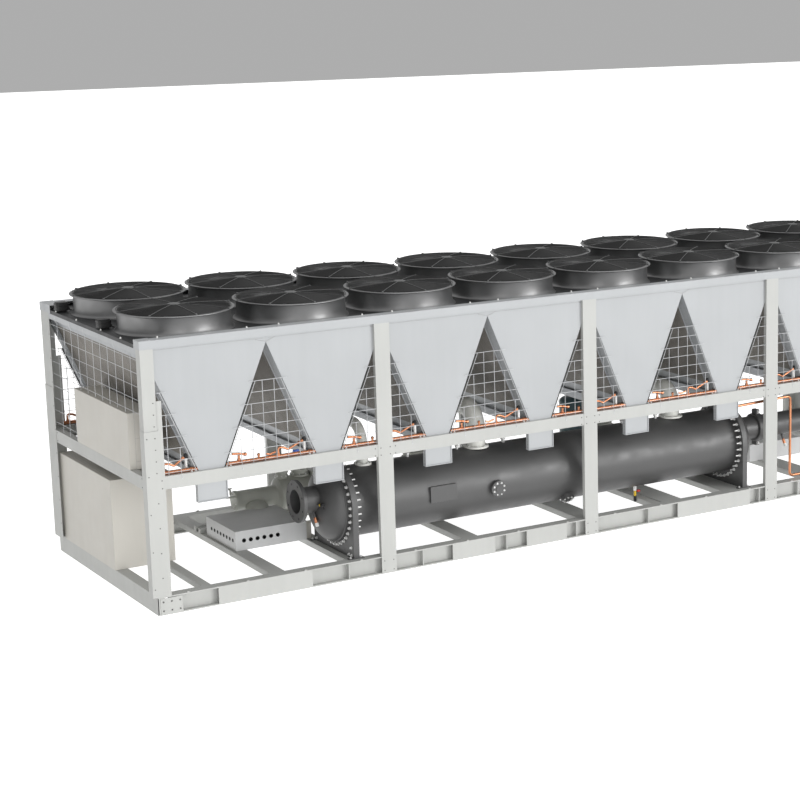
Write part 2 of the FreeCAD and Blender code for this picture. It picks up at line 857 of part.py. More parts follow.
def junction_box(row_y, offset):
    """A small box on the deck's left end, just clear of the foot of a fan's housing."""
    bulge = math.sqrt(max(shroud_foot_radius**2 - junction_rear_offset**2, 0))
    x1 = fan_pitch / 2 - bulge - junction_gap
    y0 = row_y + offset
    return block(-junction_overhang, x1, y0, y0 + junction_width, deck_top, deck_top + junction_height)


long_front = long_beam()
save("base_beam_front", [long_front])
save("base_beam_rear", [mirrored_front_back(long_front)])
save("base_beams_end", [end_beam(), mirrored_left_right(end_beam())])
save("base_corner_plates", on_four_corners(corner_plate(), corner_plate()))
save("base_cross_members", [cross_channel(a, b) for a, b in member_spans])
posts = [middle_post(bay * (k + 1)) for k in range(bays - 1)]
save("posts_front", posts)
save("posts_rear", [mirrored_front_back(p) for p in posts])
save("corner_posts_lower", on_four_corners(corner_post_low(corner_return), corner_post_low(corner_rear_return)))
save("corner_posts_upper", on_four_corners(corner_post_top(corner_return), corner_post_top(corner_rear_return)))

mid_front = rail_channel_along_x(0, length, 0, mid_rail_depth, mid_rail_bottom, mid_rail_top, rail_sheet)
save("mid_rail_front", [mid_front])
save("mid_rail_rear", [mirrored_front_back(mid_front)])
mid_end = rail_channel_along_y(
    mid_rail_depth, frame_width - mid_rail_depth, -corner_overhang + sheet, mid_rail_depth,
    mid_rail_bottom, mid_rail_top, rail_sheet,
)
save("mid_rails_end", [mid_end, mirrored_left_right(mid_end)])
save("mid_cross_beams", [cross_beam(n) for n in range(vees)])
save("coil_trays", [tray(n) for n in range(vees)])

top_front = rail_channel_along_x(
    -corner_overhang + cap_size, length + corner_overhang - cap_size, -sheet, top_rail_depth,
    top_rail_bottom, top_rail_top, rail_sheet,
)
save("top_rail_front", [top_front])
save("top_rail_rear", [mirrored_front_back(top_front)])
save("corner_caps", on_four_corners(corner_cap(cap_size), corner_cap(cap_rear_size)))
end_rail_top = top_rail_bottom - end_rail_drop
top_end = rail_channel_along_y(
    corner_return, frame_width - corner_rear_return, -corner_overhang + sheet, mid_rail_depth,
    end_rail_top - end_rail_height, end_rail_top, rail_sheet,
)
save("top_rails_end", [top_end, mirrored_left_right(top_end)])
save("fan_decks", [fan_deck(n) for n in range(bays)])

save("vee_panels_front", [vee_panel(n) for n in range(vees)])
save("vee_panels_rear", [mirrored_front_back(vee_panel(n)) for n in range(vees)])
save("coil_cores_left", [coil_core(n, -1) for n in range(vees)])
save("coil_cores_right", [coil_core(n, 1) for n in range(vees)])
save("coil_casings_left", [coil_casing(n, -1) for n in range(vees)])
save("coil_casings_right", [coil_casing(n, 1) for n in range(vees)])
save("coil_dividers", [divider(n) for n in range(vees + 1)])
save("copper_headers", on_both_sides(header()))
save("foot_boxes_front", [foot_box(n) for n in range(vees)])
save("foot_boxes_rear", [mirrored_front_back(foot_box(n)) for n in range(vees)])
save("fan_shrouds", [fan_shroud(x, y) for x, y in fan_centres()])
save("fan_guards", [fan_guard(x, y) for x, y in fan_centres()])
save("fan_rotors", [fan_rotor(x, y) for x, y in fan_centres()])

save("evaporator_shell", [shell()])
save("evaporator_end_plates", [end_plate(plate_left_x), end_plate(plate_right_x)])
left_head = head(plate_left_x, -1)
right_head = head(plate_right_x + plate_thick, 1)
save("evaporator_heads", [left_head, right_head])

inlet = flanged_pipe(left_flange_x, plate_left_x - head_skirt, True)
outlet = flanged_pipe(plate_right_x + plate_thick + head_skirt, right_flange_x, False)
save("water_nozzles", [inlet.cut(left_head), outlet.cut(right_head)])
save("outlet_pipe", [outlet_pipe()])
save("outlet_pipe_support", [pipe_support()])
save("suction_pipes", [
    suction_pipe(first_pipe_x, first_pipe_radius, first_pipe_bend, first_pipe_rise),
    suction_pipe(second_pipe_x, second_pipe_radius, second_pipe_bend, second_pipe_rise),
    suction_pipe(third_pipe_x, third_pipe_radius, third_pipe_bend, third_pipe_rise),
])
save("compressors", [
    compressor(first_compressor_start, 1, [(small_stack_x, small_stack_radius), (first_stack_x, first_stack_radius)]),
    compressor(second_compressor_start, 1, [(second_pipe_x, stack_radius)]),
    compressor(third_compressor_start, -1, [(third_pipe_x, stack_radius)]),
])
skids = []
for side in (-1, 1):
    y = compressor_y + side * (foot_half_width - skid_width / 2)
    skids.append(block(
        skid_start, skid_end, y - skid_width / 2, y + skid_width / 2, beam_height, beam_height + skid_height,
    ))
save("compressor_rails", skids)
save("oil_separator", [vessel()])
save("cable_boxes", [cable_box(a, b) for a, b in cable_box_x])
save("control_box_lower", [control_box_lower()])
save("control_box_upper", [control_box_upper()])
save("junction_boxes", [
    junction_box(fan_side_distance, junction_front_offset),
    junction_box(frame_width - fan_side_distance, junction_rear_offset),
])
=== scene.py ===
"""Looks of the air-cooled water chiller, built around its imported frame."""
from math import copysign, cos, pi, radians, sin, sqrt, tan

import bmesh
import bpy
from mathutils import Matrix, Vector


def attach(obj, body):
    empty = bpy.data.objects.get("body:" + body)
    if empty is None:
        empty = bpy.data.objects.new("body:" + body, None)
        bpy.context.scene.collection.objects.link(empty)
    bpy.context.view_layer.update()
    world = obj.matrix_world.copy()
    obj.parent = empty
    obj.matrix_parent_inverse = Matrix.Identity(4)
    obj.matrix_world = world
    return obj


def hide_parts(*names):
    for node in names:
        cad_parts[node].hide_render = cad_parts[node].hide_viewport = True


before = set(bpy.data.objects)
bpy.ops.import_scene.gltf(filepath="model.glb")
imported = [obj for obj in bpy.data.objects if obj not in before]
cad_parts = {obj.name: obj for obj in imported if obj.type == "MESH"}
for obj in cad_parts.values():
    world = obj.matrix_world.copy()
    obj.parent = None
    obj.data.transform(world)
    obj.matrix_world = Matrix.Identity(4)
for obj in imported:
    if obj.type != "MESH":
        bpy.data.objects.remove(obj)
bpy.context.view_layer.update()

# Main sizes in metres, counted from the front left corner of the base as in the part's source
LENGTH = 8.0
WIDTH = 2.26
VEES = 8
MID_LOW = 1.003
MID_TOP = 1.107
TOP_LOW = 2.112
TOP_TOP = 2.178
DECK = 2.14
COIL_TOP = 2.064
FOOT_HALF = 0.105
VEE_HALF = 0.5
RIM = 2.307
GUARD_TOP = 2.34
SHROUD_R = 0.442
FAN_ROWS = (0.63, 1.63)
SHELL_R = 0.3
SHELL_Y = 0.432
SHELL_Z = 0.55
NOZZLE_Z = 0.615
PANEL_Y = 0.022
COMPRESSOR_Y = 1.62
COMPRESSOR_Z = 0.37
FRONT = 1
REAR = -1
LEFT = 1
RIGHT = -1
SIDES = (FRONT, REAR)
ENDS = (LEFT, RIGHT)
CORNERS = [(side, end) for side in SIDES for end in ENDS]
BASE_TOP = 0.15
UP = Vector((0, 0, 1))
ALONG = Vector((1, 0, 0))
DEEP = Vector((0, 1, 0))


def at(x, y, z):
    """A point counted from the front left corner, in the frame of the part."""
    return Vector((x - LENGTH / 2, y - WIDTH / 2, z))


def from_side(side, depth):
    """Depth behind the front face, or before the rear face."""
    return depth if side == FRONT else WIDTH - depth


def from_end(end, inward):
    """Distance inside the left end, or inside the right end."""
    return inward if end == LEFT else LENGTH - inward


def by_side(side, x, depth, z):
    """A point at a depth behind the front face, or before the rear face."""
    return at(x, from_side(side, depth), z)


def by_corner(side, end, inward, depth, z):
    """A point near a corner, by its distances inside the end and behind the face."""
    return by_side(side, from_end(end, inward), depth, z)


def around(across, other, radius, angle):
    """An offset from an axis, at an angle between two directions square to it."""
    return across * (radius * cos(angle)) + other * (radius * sin(angle))


def half_steps(count):
    """Angles of a ring of holes or bolts, half a step off the first direction."""
    return [2 * pi * (k + 0.5) / count for k in range(count)]


# Materials. Each has patches, fine grain and its own roughness pattern, all in the part's own coordinates.
def node_of(tree, kind, **values):
    """A new shader node with some inputs set. In their names, underscores stand for spaces."""
    node = tree.nodes.new("ShaderNode" + kind)
    for name, value in values.items():
        node.inputs[name.replace("_", " ")].default_value = value
    return node


def pattern(tree, kind, output="Fac", stretch=(1.0, 1.0, 1.0), **values):
    """A pattern in object coordinates, stretched where asked."""
    place = node_of(tree, "TexCoord")
    mapping = node_of(tree, "Mapping", Scale=stretch)
    texture = node_of(tree, kind, **values)
    tree.links.new(place.outputs["Object"], mapping.inputs["Vector"])
    tree.links.new(mapping.outputs["Vector"], texture.inputs["Vector"])
    return texture.outputs[output]


def scaled(colour, factor):
    return tuple(min(1.0, c * factor) for c in colour) + (1.0,)


def grey(level):
    return (level, level, level, 1.0)


def mixed(tree, value, low, high, start=0.35, stop=0.65):
    """A colour between two others, led by a pattern."""
    ramp = node_of(tree, "ValToRGB")
    for element, place, colour in zip(ramp.color_ramp.elements, (start, stop), (low, high)):
        element.position = place
        element.color = colour
    tree.links.new(value, ramp.inputs["Fac"])
    return ramp.outputs["Color"]


def multiplied(tree, first, second):
    mix = node_of(tree, "Mix")
    mix.data_type = "RGBA"
    mix.blend_type = "MULTIPLY"
    mix.inputs["Factor"].default_value = 1.0
    tree.links.new(first, mix.inputs["A"])
    tree.links.new(second, mix.inputs["B"])
    return mix.outputs["Result"]


def ranged(tree, value, low, high):
    node = node_of(tree, "MapRange", From_Min=0.3, From_Max=0.7, To_Min=low, To_Max=high)
    tree.links.new(value, node.inputs["Value"])
    return node.outputs["Result"]


def bumped(tree, height, strength, distance):
    """Raises a material's surface by a pattern."""
    lift = node_of(tree, "Bump", Strength=strength, Distance=distance)
    tree.links.new(height, lift.inputs["Height"])
    tree.links.new(lift.outputs["Normal"], tree.nodes["Principled BSDF"].inputs["Normal"])


def coated(name, colour, rough, metallic=0.0, vary=0.05, patch=2.2, grain=260.0, bump=0.05, streaks=0.04,
           spangle=0.0, gloss=0.5, ior=1.5):
    """A coated or metal surface with soft patches, faint runs of dust down the sides and a fine grain."""
    material = bpy.data.materials.new(name)
    material.use_nodes = True
    tree = material.node_tree
    shader = tree.nodes["Principled BSDF"]
    shader.inputs["Metallic"].default_value = metallic
    shader.inputs["Specular IOR Level"].default_value = gloss
    shader.inputs["IOR"].default_value = ior
    patches = pattern(tree, "TexNoise", Scale=patch, Detail=5.0)
    tint = mixed(tree, patches, scaled(colour, 1 - vary), scaled(colour, 1 + vary))
    runs = pattern(tree, "TexNoise", stretch=(3.0, 3.0, 0.35), Scale=5.0, Detail=4.0)
    tint = multiplied(tree, tint, mixed(tree, runs, grey(1 - streaks), grey(1.0)))
    if spangle:
        cells = pattern(tree, "TexVoronoi", "Distance", Scale=55.0)
        tint = multiplied(tree, tint, mixed(tree, cells, grey(1 - spangle), grey(1.0), 0.1, 0.6))
    tree.links.new(tint, shader.inputs["Base Color"])
    smudges = pattern(tree, "TexNoise", Scale=patch * 4, Detail=6.0)
    tree.links.new(ranged(tree, smudges, rough - 0.06, rough + 0.07), shader.inputs["Roughness"])
    bumped(tree, pattern(tree, "TexNoise", Scale=grain, Detail=3.0), bump, 0.001)
    return material


def finned(name, colour):
    """The face of a coil: close upright fins, with dust in patches."""
    material = coated(name, colour, 0.5, metallic=0.4, vary=0.2, patch=3.0, streaks=0.12)
    tree = material.node_tree
    base = tree.nodes["Principled BSDF"].inputs["Base Color"]
    fins = pattern(tree, "TexWave", Scale=52.0)
    fins.node.bands_direction = "Y"
    shade = mixed(tree, fins, grey(0.62), grey(1.0), 0.2, 0.8)
    tree.links.new(multiplied(tree, base.links[0].from_socket, shade), base)
    bumped(tree, fins, 0.35, 0.002)
    return material


looks = {
    "frame_paint": coated("frame_paint", (0.43, 0.435, 0.418), 0.5, vary=0.02, bump=0.04, streaks=0.03),
    "panel_paint": coated("panel_paint", (0.375, 0.387, 0.396), 0.42, vary=0.02, bump=0.03, streaks=0.02),
    "zinc_sheet": coated("zinc_sheet", (0.42, 0.435, 0.45), 0.45, metallic=0.55, vary=0.06, spangle=0.12),
    "deck_paint": coated("deck_paint", (0.022, 0.023, 0.024), 0.5, vary=0.2, bump=0.08, streaks=0.1),
    "coil_fins": finned("coil_fins", (0.25, 0.232, 0.205)),
    "copper": coated("copper", (0.6, 0.26, 0.14), 0.3, metallic=0.95, vary=0.12, patch=9.0, streaks=0.1),
    "fan_black": coated("fan_black", (0.022, 0.023, 0.024), 0.45, vary=0.05, bump=0.04, streaks=0.03,
                        gloss=1.0, ior=2.0),
    "rotor_grey": coated("rotor_grey", (0.015, 0.015, 0.016), 0.55, vary=0.1, bump=0.05),
    "vessel_dark": coated("vessel_dark", (0.062, 0.062, 0.062), 0.44, vary=0.04, bump=0.06, grain=420.0,
                          gloss=0.65),
    "pipe_grey": coated("pipe_grey", (0.76, 0.765, 0.72), 0.38, vary=0.03, bump=0.03),
    "compressor_olive": coated("compressor_olive", (0.44, 0.45, 0.405), 0.38, vary=0.08, bump=0.15,
                               grain=180.0),
    "separator_teal": coated("separator_teal", (0.06, 0.105, 0.115), 0.4, vary=0.08, bump=0.08),
    "box_grey": coated("box_grey", (0.58, 0.585, 0.585), 0.4, vary=0.04, bump=0.04),
    "box_cream": coated("box_cream", (0.5, 0.482, 0.438), 0.46, vary=0.02, bump=0.05, streaks=0.02),
}
extra = {
    "wire": coated("wire_zinc", (0.5, 0.51, 0.52), 0.35, metallic=0.5, vary=0.05, patch=6.0),
    "bolt": coated("bolt_zinc", (0.72, 0.72, 0.71), 0.38, metallic=0.4, vary=0.1, patch=20.0),
    # Dark: black parts, and painted shade in the gaps beside the mesh openings and in the flange bolt holes
    "dark": coated("black_and_painted_shade", (0.02, 0.02, 0.021), 0.7, vary=0.15, patch=12.0),
    "red": coated("handle_red", (0.5, 0.02, 0.015), 0.4, vary=0.08, patch=15.0),
    "yellow": coated("tag_yellow", (0.75, 0.5, 0.03), 0.45, vary=0.06, patch=15.0),
    "white": coated("cap_white", (0.8, 0.8, 0.78), 0.4, vary=0.03, patch=15.0),
    "blue": coated("core_blue", (0.05, 0.12, 0.45), 0.4, vary=0.06, patch=15.0),
    "cap": coated("guard_cap", (0.1, 0.102, 0.102), 0.5, vary=0.08, patch=15.0),
    "guard": coated("guard_dark", (0.014, 0.014, 0.014), 0.5, vary=0.1, patch=6.0),
    "rail": coated("rail_paint", (0.375, 0.387, 0.396), 0.4, vary=0.02, bump=0.03, streaks=0.02),
    "seam": coated("seam_shadow", (0.3, 0.3, 0.3), 0.5, vary=0.08, patch=15.0),
    "screw_dark": coated("screw_dark", (0.16, 0.16, 0.155), 0.45, metallic=0.5, vary=0.1, patch=20.0),
}
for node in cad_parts.values():
    for place in node.material_slots:
        place.material = looks[place.material.name]
for name in ("top_rail_front", "top_rail_rear", "top_rails_end", "corner_caps"):
    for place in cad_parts[name].material_slots:
        place.material = extra["rail"]


class Piece:
    """Collects the faces of one named piece, then hands them over as an object on the part's one body."""

    def __init__(self, name, slot, look=None):
        self.name = name
        self.slot = slot
        self.look = extra[look] if look else looks[slot]
        self.points = []
        self.faces = []

    def add(self, points, faces):
        start = len(self.points)
        self.points.extend(points)
        self.faces.extend(tuple(start + i for i in face) for face in faces)

    def box(self, a, b):
        """A box between two opposite corners."""
        corners = [Vector((x, y, z)) for z in (a.z, b.z) for y in (a.y, b.y) for x in (a.x, b.x)]
        ends = [(0, 2, 3, 1), (4, 5, 7, 6)]
        self.add(corners, ends + [(0, 1, 5, 4), (2, 6, 7, 3), (0, 4, 6, 2), (1, 3, 7, 5)])

    def loft(self, sections):
        """A solid through closed sections with the same number of points."""
        n = len(sections[0])
        last = (len(sections) - 1) * n
        faces = [tuple(reversed(range(n))), tuple(range(last, last + n))]
        for start in range(0, last, n):
            for k in range(n):
                j = (k + 1) % n
                faces.append((start + k, start + j, start + n + j, start + n + k))
        self.add([point for section in sections for point in section], faces)

    def prism(self, outline, sweep):
        """A flat outline swept along a vector."""
        self.loft([outline, [p + sweep for p in outline]])

    def turned(self, centre, axis, profile, sides=24, closed=False):
        """A form turned about an axis, from pairs of distance along it and radius."""
        across = axis.orthogonal().normalized()
        other = axis.cross(across)
        rings = []
        points = []
        faces = []
        for along, radius in profile:
            middle = centre + axis * along
            if radius < 1e-6:
                rings.append([len(points)])
                points.append(middle)
                continue
            rings.append(list(range(len(points), len(points) + sides)))
            for k in range(sides):
                points.append(middle + around(across, other, radius, 2 * pi * k / sides))
        pairs = list(zip(rings, rings[1:]))
        if closed:
            pairs.append((rings[-1], rings[0]))
        for low, high in pairs:
            for k in range(sides):
                j = (k + 1) % sides
                if len(low) == 1 and len(high) == 1:
                    continue
                if len(low) == 1:
                    faces.append((low[0], high[j], high[k]))
                elif len(high) == 1:
                    faces.append((low[k], low[j], high[0]))
                else:
                    faces.append((low[k], low[j], high[j], high[k]))
        if not closed:
            if len(rings[0]) > 1:
                faces.append(tuple(reversed(rings[0])))
            if len(rings[-1]) > 1:
                faces.append(tuple(rings[-1]))
        self.add(points, faces)

    def rod(self, start, stop, radius, sides=8):
        """A round bar between two points."""
        axis = stop - start
        length = axis.length
        self.turned(start, axis.normalized(), [(0, radius), (length, radius)], sides)

    def tube(self, path, radius, sides=12):
        """A round bar that follows points. Its section turns with the path and doesn't twist."""
        n = len(path)
        heading = [(path[min(i + 1, n - 1)] - path[max(i - 1, 0)]).normalized() for i in range(n)]
        across = heading[0].orthogonal().normalized()
        sections = []
        for i, middle in enumerate(path):
            across = (across - heading[i] * across.dot(heading[i])).normalized()
            other = heading[i].cross(across)
            turns = [2 * pi * k / sides for k in range(sides)]
            sections.append([middle + around(across, other, radius, turn) for turn in turns])
        self.loft(sections)

    def bolt(self, foot, axis, radius, height, sides=6):
        """A bolt head on its washer."""
        washer = radius * 1.35
        self.turned(foot, axis, [(0, washer), (height * 0.2, washer), (height * 0.2, radius)], 10)
        profile = [(height * 0.2, radius), (height * 0.85, radius), (height, radius * 0.8), (height, 0)]
        self.turned(foot, axis, profile, sides)

    def screw(self, foot, axis, radius, height):
        """A low rounded screw head."""
        profile = [(0, radius), (height * 0.5, radius * 0.9), (height, radius * 0.45), (height, 0)]
        self.turned(foot, axis, profile, 8)

    def done(self, bevel=0.0, segments=2, replaces=()):
        """Makes the object, with sharp edges where faces meet at a steep angle."""
        mesh = bpy.data.meshes.new(self.name)
        mesh.from_pydata(self.points, [], self.faces)
        work = bmesh.new()
        work.from_mesh(mesh)
        bmesh.ops.recalc_face_normals(work, faces=work.faces)
        work.to_mesh(mesh)
        work.free()
        mesh.shade_smooth()
        mesh.set_sharp_from_angle(angle=radians(34))
        mesh.materials.append(self.look)
        obj = bpy.data.objects.new(self.name, mesh)
        bpy.context.scene.collection.objects.link(obj)
        if bevel:
            edge = obj.modifiers.new("edge", "BEVEL")
            edge.width = bevel
            edge.segments = segments
            edge.limit_method = "ANGLE"
            edge.angle_limit = radians(40)
            edge.harden_normals = True
        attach(obj, "root")
        if replaces:
            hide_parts(*replaces)
        return obj


def arc(centre, start, stop, turn, steps):
    """Points round a centre from a start direction towards a stop direction, through a turn in radians."""
    return [centre + around(start, stop, 1.0, turn * k / steps) for k in range(steps + 1)]


def rounded(corners, radius, steps=5):
    """A path whose corners are rounded off by a radius."""
    path = [corners[0]]
    for before, corner, after in zip(corners, corners[1:], corners[2:]):
        back = (before - corner).normalized()
        ahead = (after - corner).normalized()
        half = back.angle(ahead) / 2
        reach = min(radius / tan(half), (before - corner).length * 0.49, (after - corner).length * 0.49)
        bend = reach * tan(half)
        centre = corner + (back + ahead).normalized() * (bend / sin(half))
        first = corner + back * reach - centre
        last = corner + ahead * reach - centre
        side = (last - first * (last.dot(first) / first.length_squared)).normalized() * first.length
        path.extend(arc(centre, first, side, pi - 2 * half, steps))
    path.append(corners[-1])
    return path


def ring_of_bolts(piece, centre, axis, ring, count, radius, height):
    """Bolts on a ring about an axis."""
    across = axis.orthogonal().normalized()
    other = axis.cross(across)
    for turn in half_steps(count):
        piece.bolt(centre + around(across, other, ring, turn), axis, radius, height)


def fan_centres():
    return [(n + 0.5, y) for n in range(VEES) for y in FAN_ROWS]


# Fan housings: a flared foot, a straight wall and a rolled rim
housing = Piece("fan_housings", "fan_black")
housing_profile = [
    (0, 0.436), (0, 0.470), (0.003, 0.470), (0.006, 0.463), (0.013, 0.4545), (0.024, 0.4475), (0.04, 0.4435),
    (0.058, SHROUD_R), (0.146, SHROUD_R), (0.151, 0.4445), (0.154, 0.45), (0.156, 0.46), (0.157, 0.469),
    (0.159, 0.4715), (0.164, 0.4715), (0.166, 0.469), (0.167, 0.446), (0.165, 0.438), (0.16, 0.436),
]
for x, y in fan_centres():
    housing.turned(at(x, y, DECK), UP, housing_profile, 72, closed=True)
housing.done(replaces=["fan_shrouds"])

# Fan guards: flat spokes that fall from a middle disc to the rim, with close wire rings below them
SPOKES = 8
SPOKE_HALF = 0.0022
SPOKE_THICK = 0.004
SPOKE_STEPS = 5
DISC_R = 0.05
SPOKE_END = 0.462
GUARD_LOW = RIM + 0.004
GUARD_HIGH = GUARD_TOP - 0.009


def guard_height(radius):
    """Height of the guard's domed face at a radius."""
    part = (radius - DISC_R) / (SPOKE_END - DISC_R)
    return GUARD_HIGH + (GUARD_LOW - GUARD_HIGH) * part ** 1.6


guard = Piece("fan_guard_spokes", "fan_black", "cap")
rings = Piece("fan_guard_wires", "fan_black", "guard")
caps = Piece("fan_guard_caps", "fan_black", "cap")
RING_PITCH = 0.0128
RING_COUNT = 31
DISC_SHAPE = [(0, DISC_R), (0.005, DISC_R), (0.008, 0.04), (0.009, 0.012), (0.009, 0)]
CAP_SHAPE = [(0, 0.008), (0.008, 0.008), (0.012, 0.005), (0.012, 0)]
CAP_RING = 0.461
SPOKE_START = DISC_R - 0.006
FIRST_RING = DISC_R + 0.012
for x, y in fan_centres():
    for k in range(SPOKES):
        angle = 2 * pi * k / SPOKES
        out = around(ALONG, DEEP, 1.0, angle)
        across = around(DEEP, -ALONG, SPOKE_HALF, angle)
        sections = []
        for i in range(SPOKE_STEPS + 1):
            radius = SPOKE_START + (SPOKE_END - SPOKE_START) * i / SPOKE_STEPS
            foot = at(x, y, guard_height(max(radius, DISC_R))) + out * radius
            top = foot + UP * SPOKE_THICK
            sections.append([foot - across, foot + across, top + across, top - across])
        guard.loft(sections)
        caps.turned(at(x, y, RIM) + out * CAP_RING, UP, CAP_SHAPE, 8)
    for k in range(RING_COUNT):
        radius = FIRST_RING + RING_PITCH * k
        section = [(0.0021, radius), (-0.001, radius + 0.0018), (-0.001, radius - 0.0018)]
        rings.turned(at(x, y, guard_height(radius) - 0.0005), UP, section, 56, closed=True)
    caps.turned(at(x, y, GUARD_HIGH - 0.001), UP, DISC_SHAPE, 32)
guard.done()
rings.done(replaces=["fan_guards"])
caps.done()

# Fan rotors: a domed hub under its motor and five swept blades
BLADES = 5
BLADE_ROOT = 0.122
BLADE_TIP = 0.424
BLADE_THICK = 0.0045
BLADE_Z = 2.236
BLADE_SWEEP = 0.16
STATIONS = 7
WIDE = 5
HUB_Z = 2.19
HUB = [
    (0, 0), (0, 0.06), (0.006, 0.105), (0.018, 0.128), (0.03, 0.132), (0.086, 0.132), (0.09, 0.128),
    (0.09, 0.088), (0.14, 0.086), (0.141, 0.05), (0.142, 0),
]
rotor = Piece("fan_blades", "rotor_grey")


def blade_point(x, y, turn, share, v):
    """A point on a blade's upper face, by its shares of the reach and, about the middle, of the width."""
    radius = BLADE_ROOT + (BLADE_TIP - BLADE_ROOT) * share
    chord = 0.125 + 0.075 * sin(pi * (0.15 + 0.75 * share))
    tilt = radians(34 - 16 * share)
    camber = 0.012 * (1 - 4 * v * v)
    angle = turn + BLADE_SWEEP * share * share + chord * v * cos(tilt) / radius
    return at(x, y, BLADE_Z + chord * v * sin(tilt) + camber) + around(ALONG, DEEP, radius, angle)


for x, y in fan_centres():
    rotor.turned(at(x, y, HUB_Z), UP, HUB, 28)
    for k in range(BLADES):
        turn = 2 * pi * k / BLADES
        upper = []
        for i in range(STATIONS):
            share = i / (STATIONS - 1)
            upper.extend(blade_point(x, y, turn, share, j / (WIDE - 1) - 0.5) for j in range(WIDE))
        count = len(upper)
        faces = []
        for a in (i * WIDE + j for i in range(STATIONS - 1) for j in range(WIDE - 1)):
            faces.append((a, a + WIDE, a + WIDE + 1, a + 1))
            faces.append((a + count, a + 1 + count, a + WIDE + 1 + count, a + WIDE + count))
        edge = [*range(WIDE), *range(2 * WIDE - 1, count, WIDE)]
        edge += [*range(count - 2, count - WIDE - 1, -1), *range(count - 2 * WIDE, 0, -WIDE)]
        for a, b in zip(edge, edge[1:] + edge[:1]):
            faces.append((a, b, b + count, a + count))
        rotor.add(upper + [p - UP * BLADE_THICK for p in upper], faces)
rotor.done(replaces=["fan_rotors"])

# Coil panels: flat sheets that narrow to the foot, and the casings of the coils behind them
SHEET = 0.003
PANEL_GAP = 0.0005
SLOPE = (VEE_HALF - FOOT_HALF) / (COIL_TOP - MID_TOP)


def half_opening(z):
    """Half the width of the gap between two coil blocks at a height."""
    return (COIL_TOP - z) * SLOPE


panels = Piece("vee_panels_flat", "panel_paint")
for side in SIDES:
    y = from_side(side, PANEL_Y)
    for n in range(VEES):
        middle, reach = n + 0.5, VEE_HALF - PANEL_GAP
        outline = [
            at(middle - FOOT_HALF, y, MID_TOP), at(middle + FOOT_HALF, y, MID_TOP),
            at(middle + reach, y, COIL_TOP), at(middle + reach, y, TOP_LOW),
            at(middle - reach, y, TOP_LOW), at(middle - reach, y, COIL_TOP),
        ]
        panels.prism(outline, DEEP * (side * SHEET))
panels.done(replaces=["vee_panels_front", "vee_panels_rear"])

# The coils keep the slope of the solids' cores, whose panels stand on a wider foot
SOLID_FOOT_HALF = 0.1175
CORE_GAP = 0.014
CORE_THICK = 0.062
CORE_FRONT = 0.1
BORDER = 0.08
CORE_FOOT = SOLID_FOOT_HALF - CORE_GAP
CORE_HEAD = VEE_HALF - CORE_GAP
CORE_TOP = 2.042
STRIP_LOW = 1.141
STRIP_BACK = 0.148
LIP = 0.012


def coil_section(n, way, y, start, stop):
    """The sloping section of a coil between two shares of its height."""
    corners = []
    for share, inward in ((start, 0), (stop, 0), (stop, 1), (start, 1)):
        reach = CORE_FOOT + (CORE_HEAD - CORE_FOOT) * share - CORE_THICK * inward
        corners.append(at(n + 0.5 + way * reach, y, MID_TOP + (CORE_TOP - MID_TOP) * share))
    return corners


for way, name in ((-1, "left"), (1, "right")):
    casings = Piece("coil_casings_folded_" + name, "zinc_sheet")
    share = BORDER / (CORE_TOP - MID_TOP)
    for n in range(VEES):
        for y in (CORE_FRONT, WIDTH - CORE_FRONT - BORDER):
            casings.prism(coil_section(n, way, y, 0, 1), DEEP * BORDER)
        for start, stop in ((0, share), (1 - share / 2, 1)):
            length = WIDTH - 2 * (CORE_FRONT + BORDER)
            casings.prism(coil_section(n, way, CORE_FRONT + BORDER, start, stop), DEEP * length)
        low = VEE_HALF - half_opening(STRIP_LOW)
        high = VEE_HALF - PANEL_GAP
        for side in SIDES:
            front = from_side(side, PANEL_Y + SHEET)
            back = from_side(side, STRIP_BACK)
            for y0, y1, out in ((front, back, 0.0), (back - side * SHEET, back, LIP)):
                spots = ((low + out, STRIP_LOW), (high, COIL_TOP - out / SLOPE),
                         (high - SHEET, COIL_TOP - out / SLOPE), (low - SHEET, STRIP_LOW))
                casings.prism([at(n + 0.5 + way * reach, y0, z) for reach, z in spots], DEEP * (y1 - y0))
    casings.done(replaces=["coil_casings_" + name])

# Wire mesh over the openings of the long sides: level wires in front of upright and slanting ones
WIRE_R = 0.0027
WIRE_ROWS = [1.765, 1.677, 1.585, 1.5, 1.407, 1.317, 1.218, 1.128]
WIRE_OFFSETS = (0.05, 0.15, 0.25)
WIRE_MARGIN = 0.1
WIRE_END = 0.08
MESH_Y = 0.008
MESH_FOOT = MID_TOP - 0.002
LAP = 0.036
INSIDE = 0.016
CLEAR = 0.03
# Width of the dark strip of painted shade beside each opening
SHADE_STRIP = 0.011


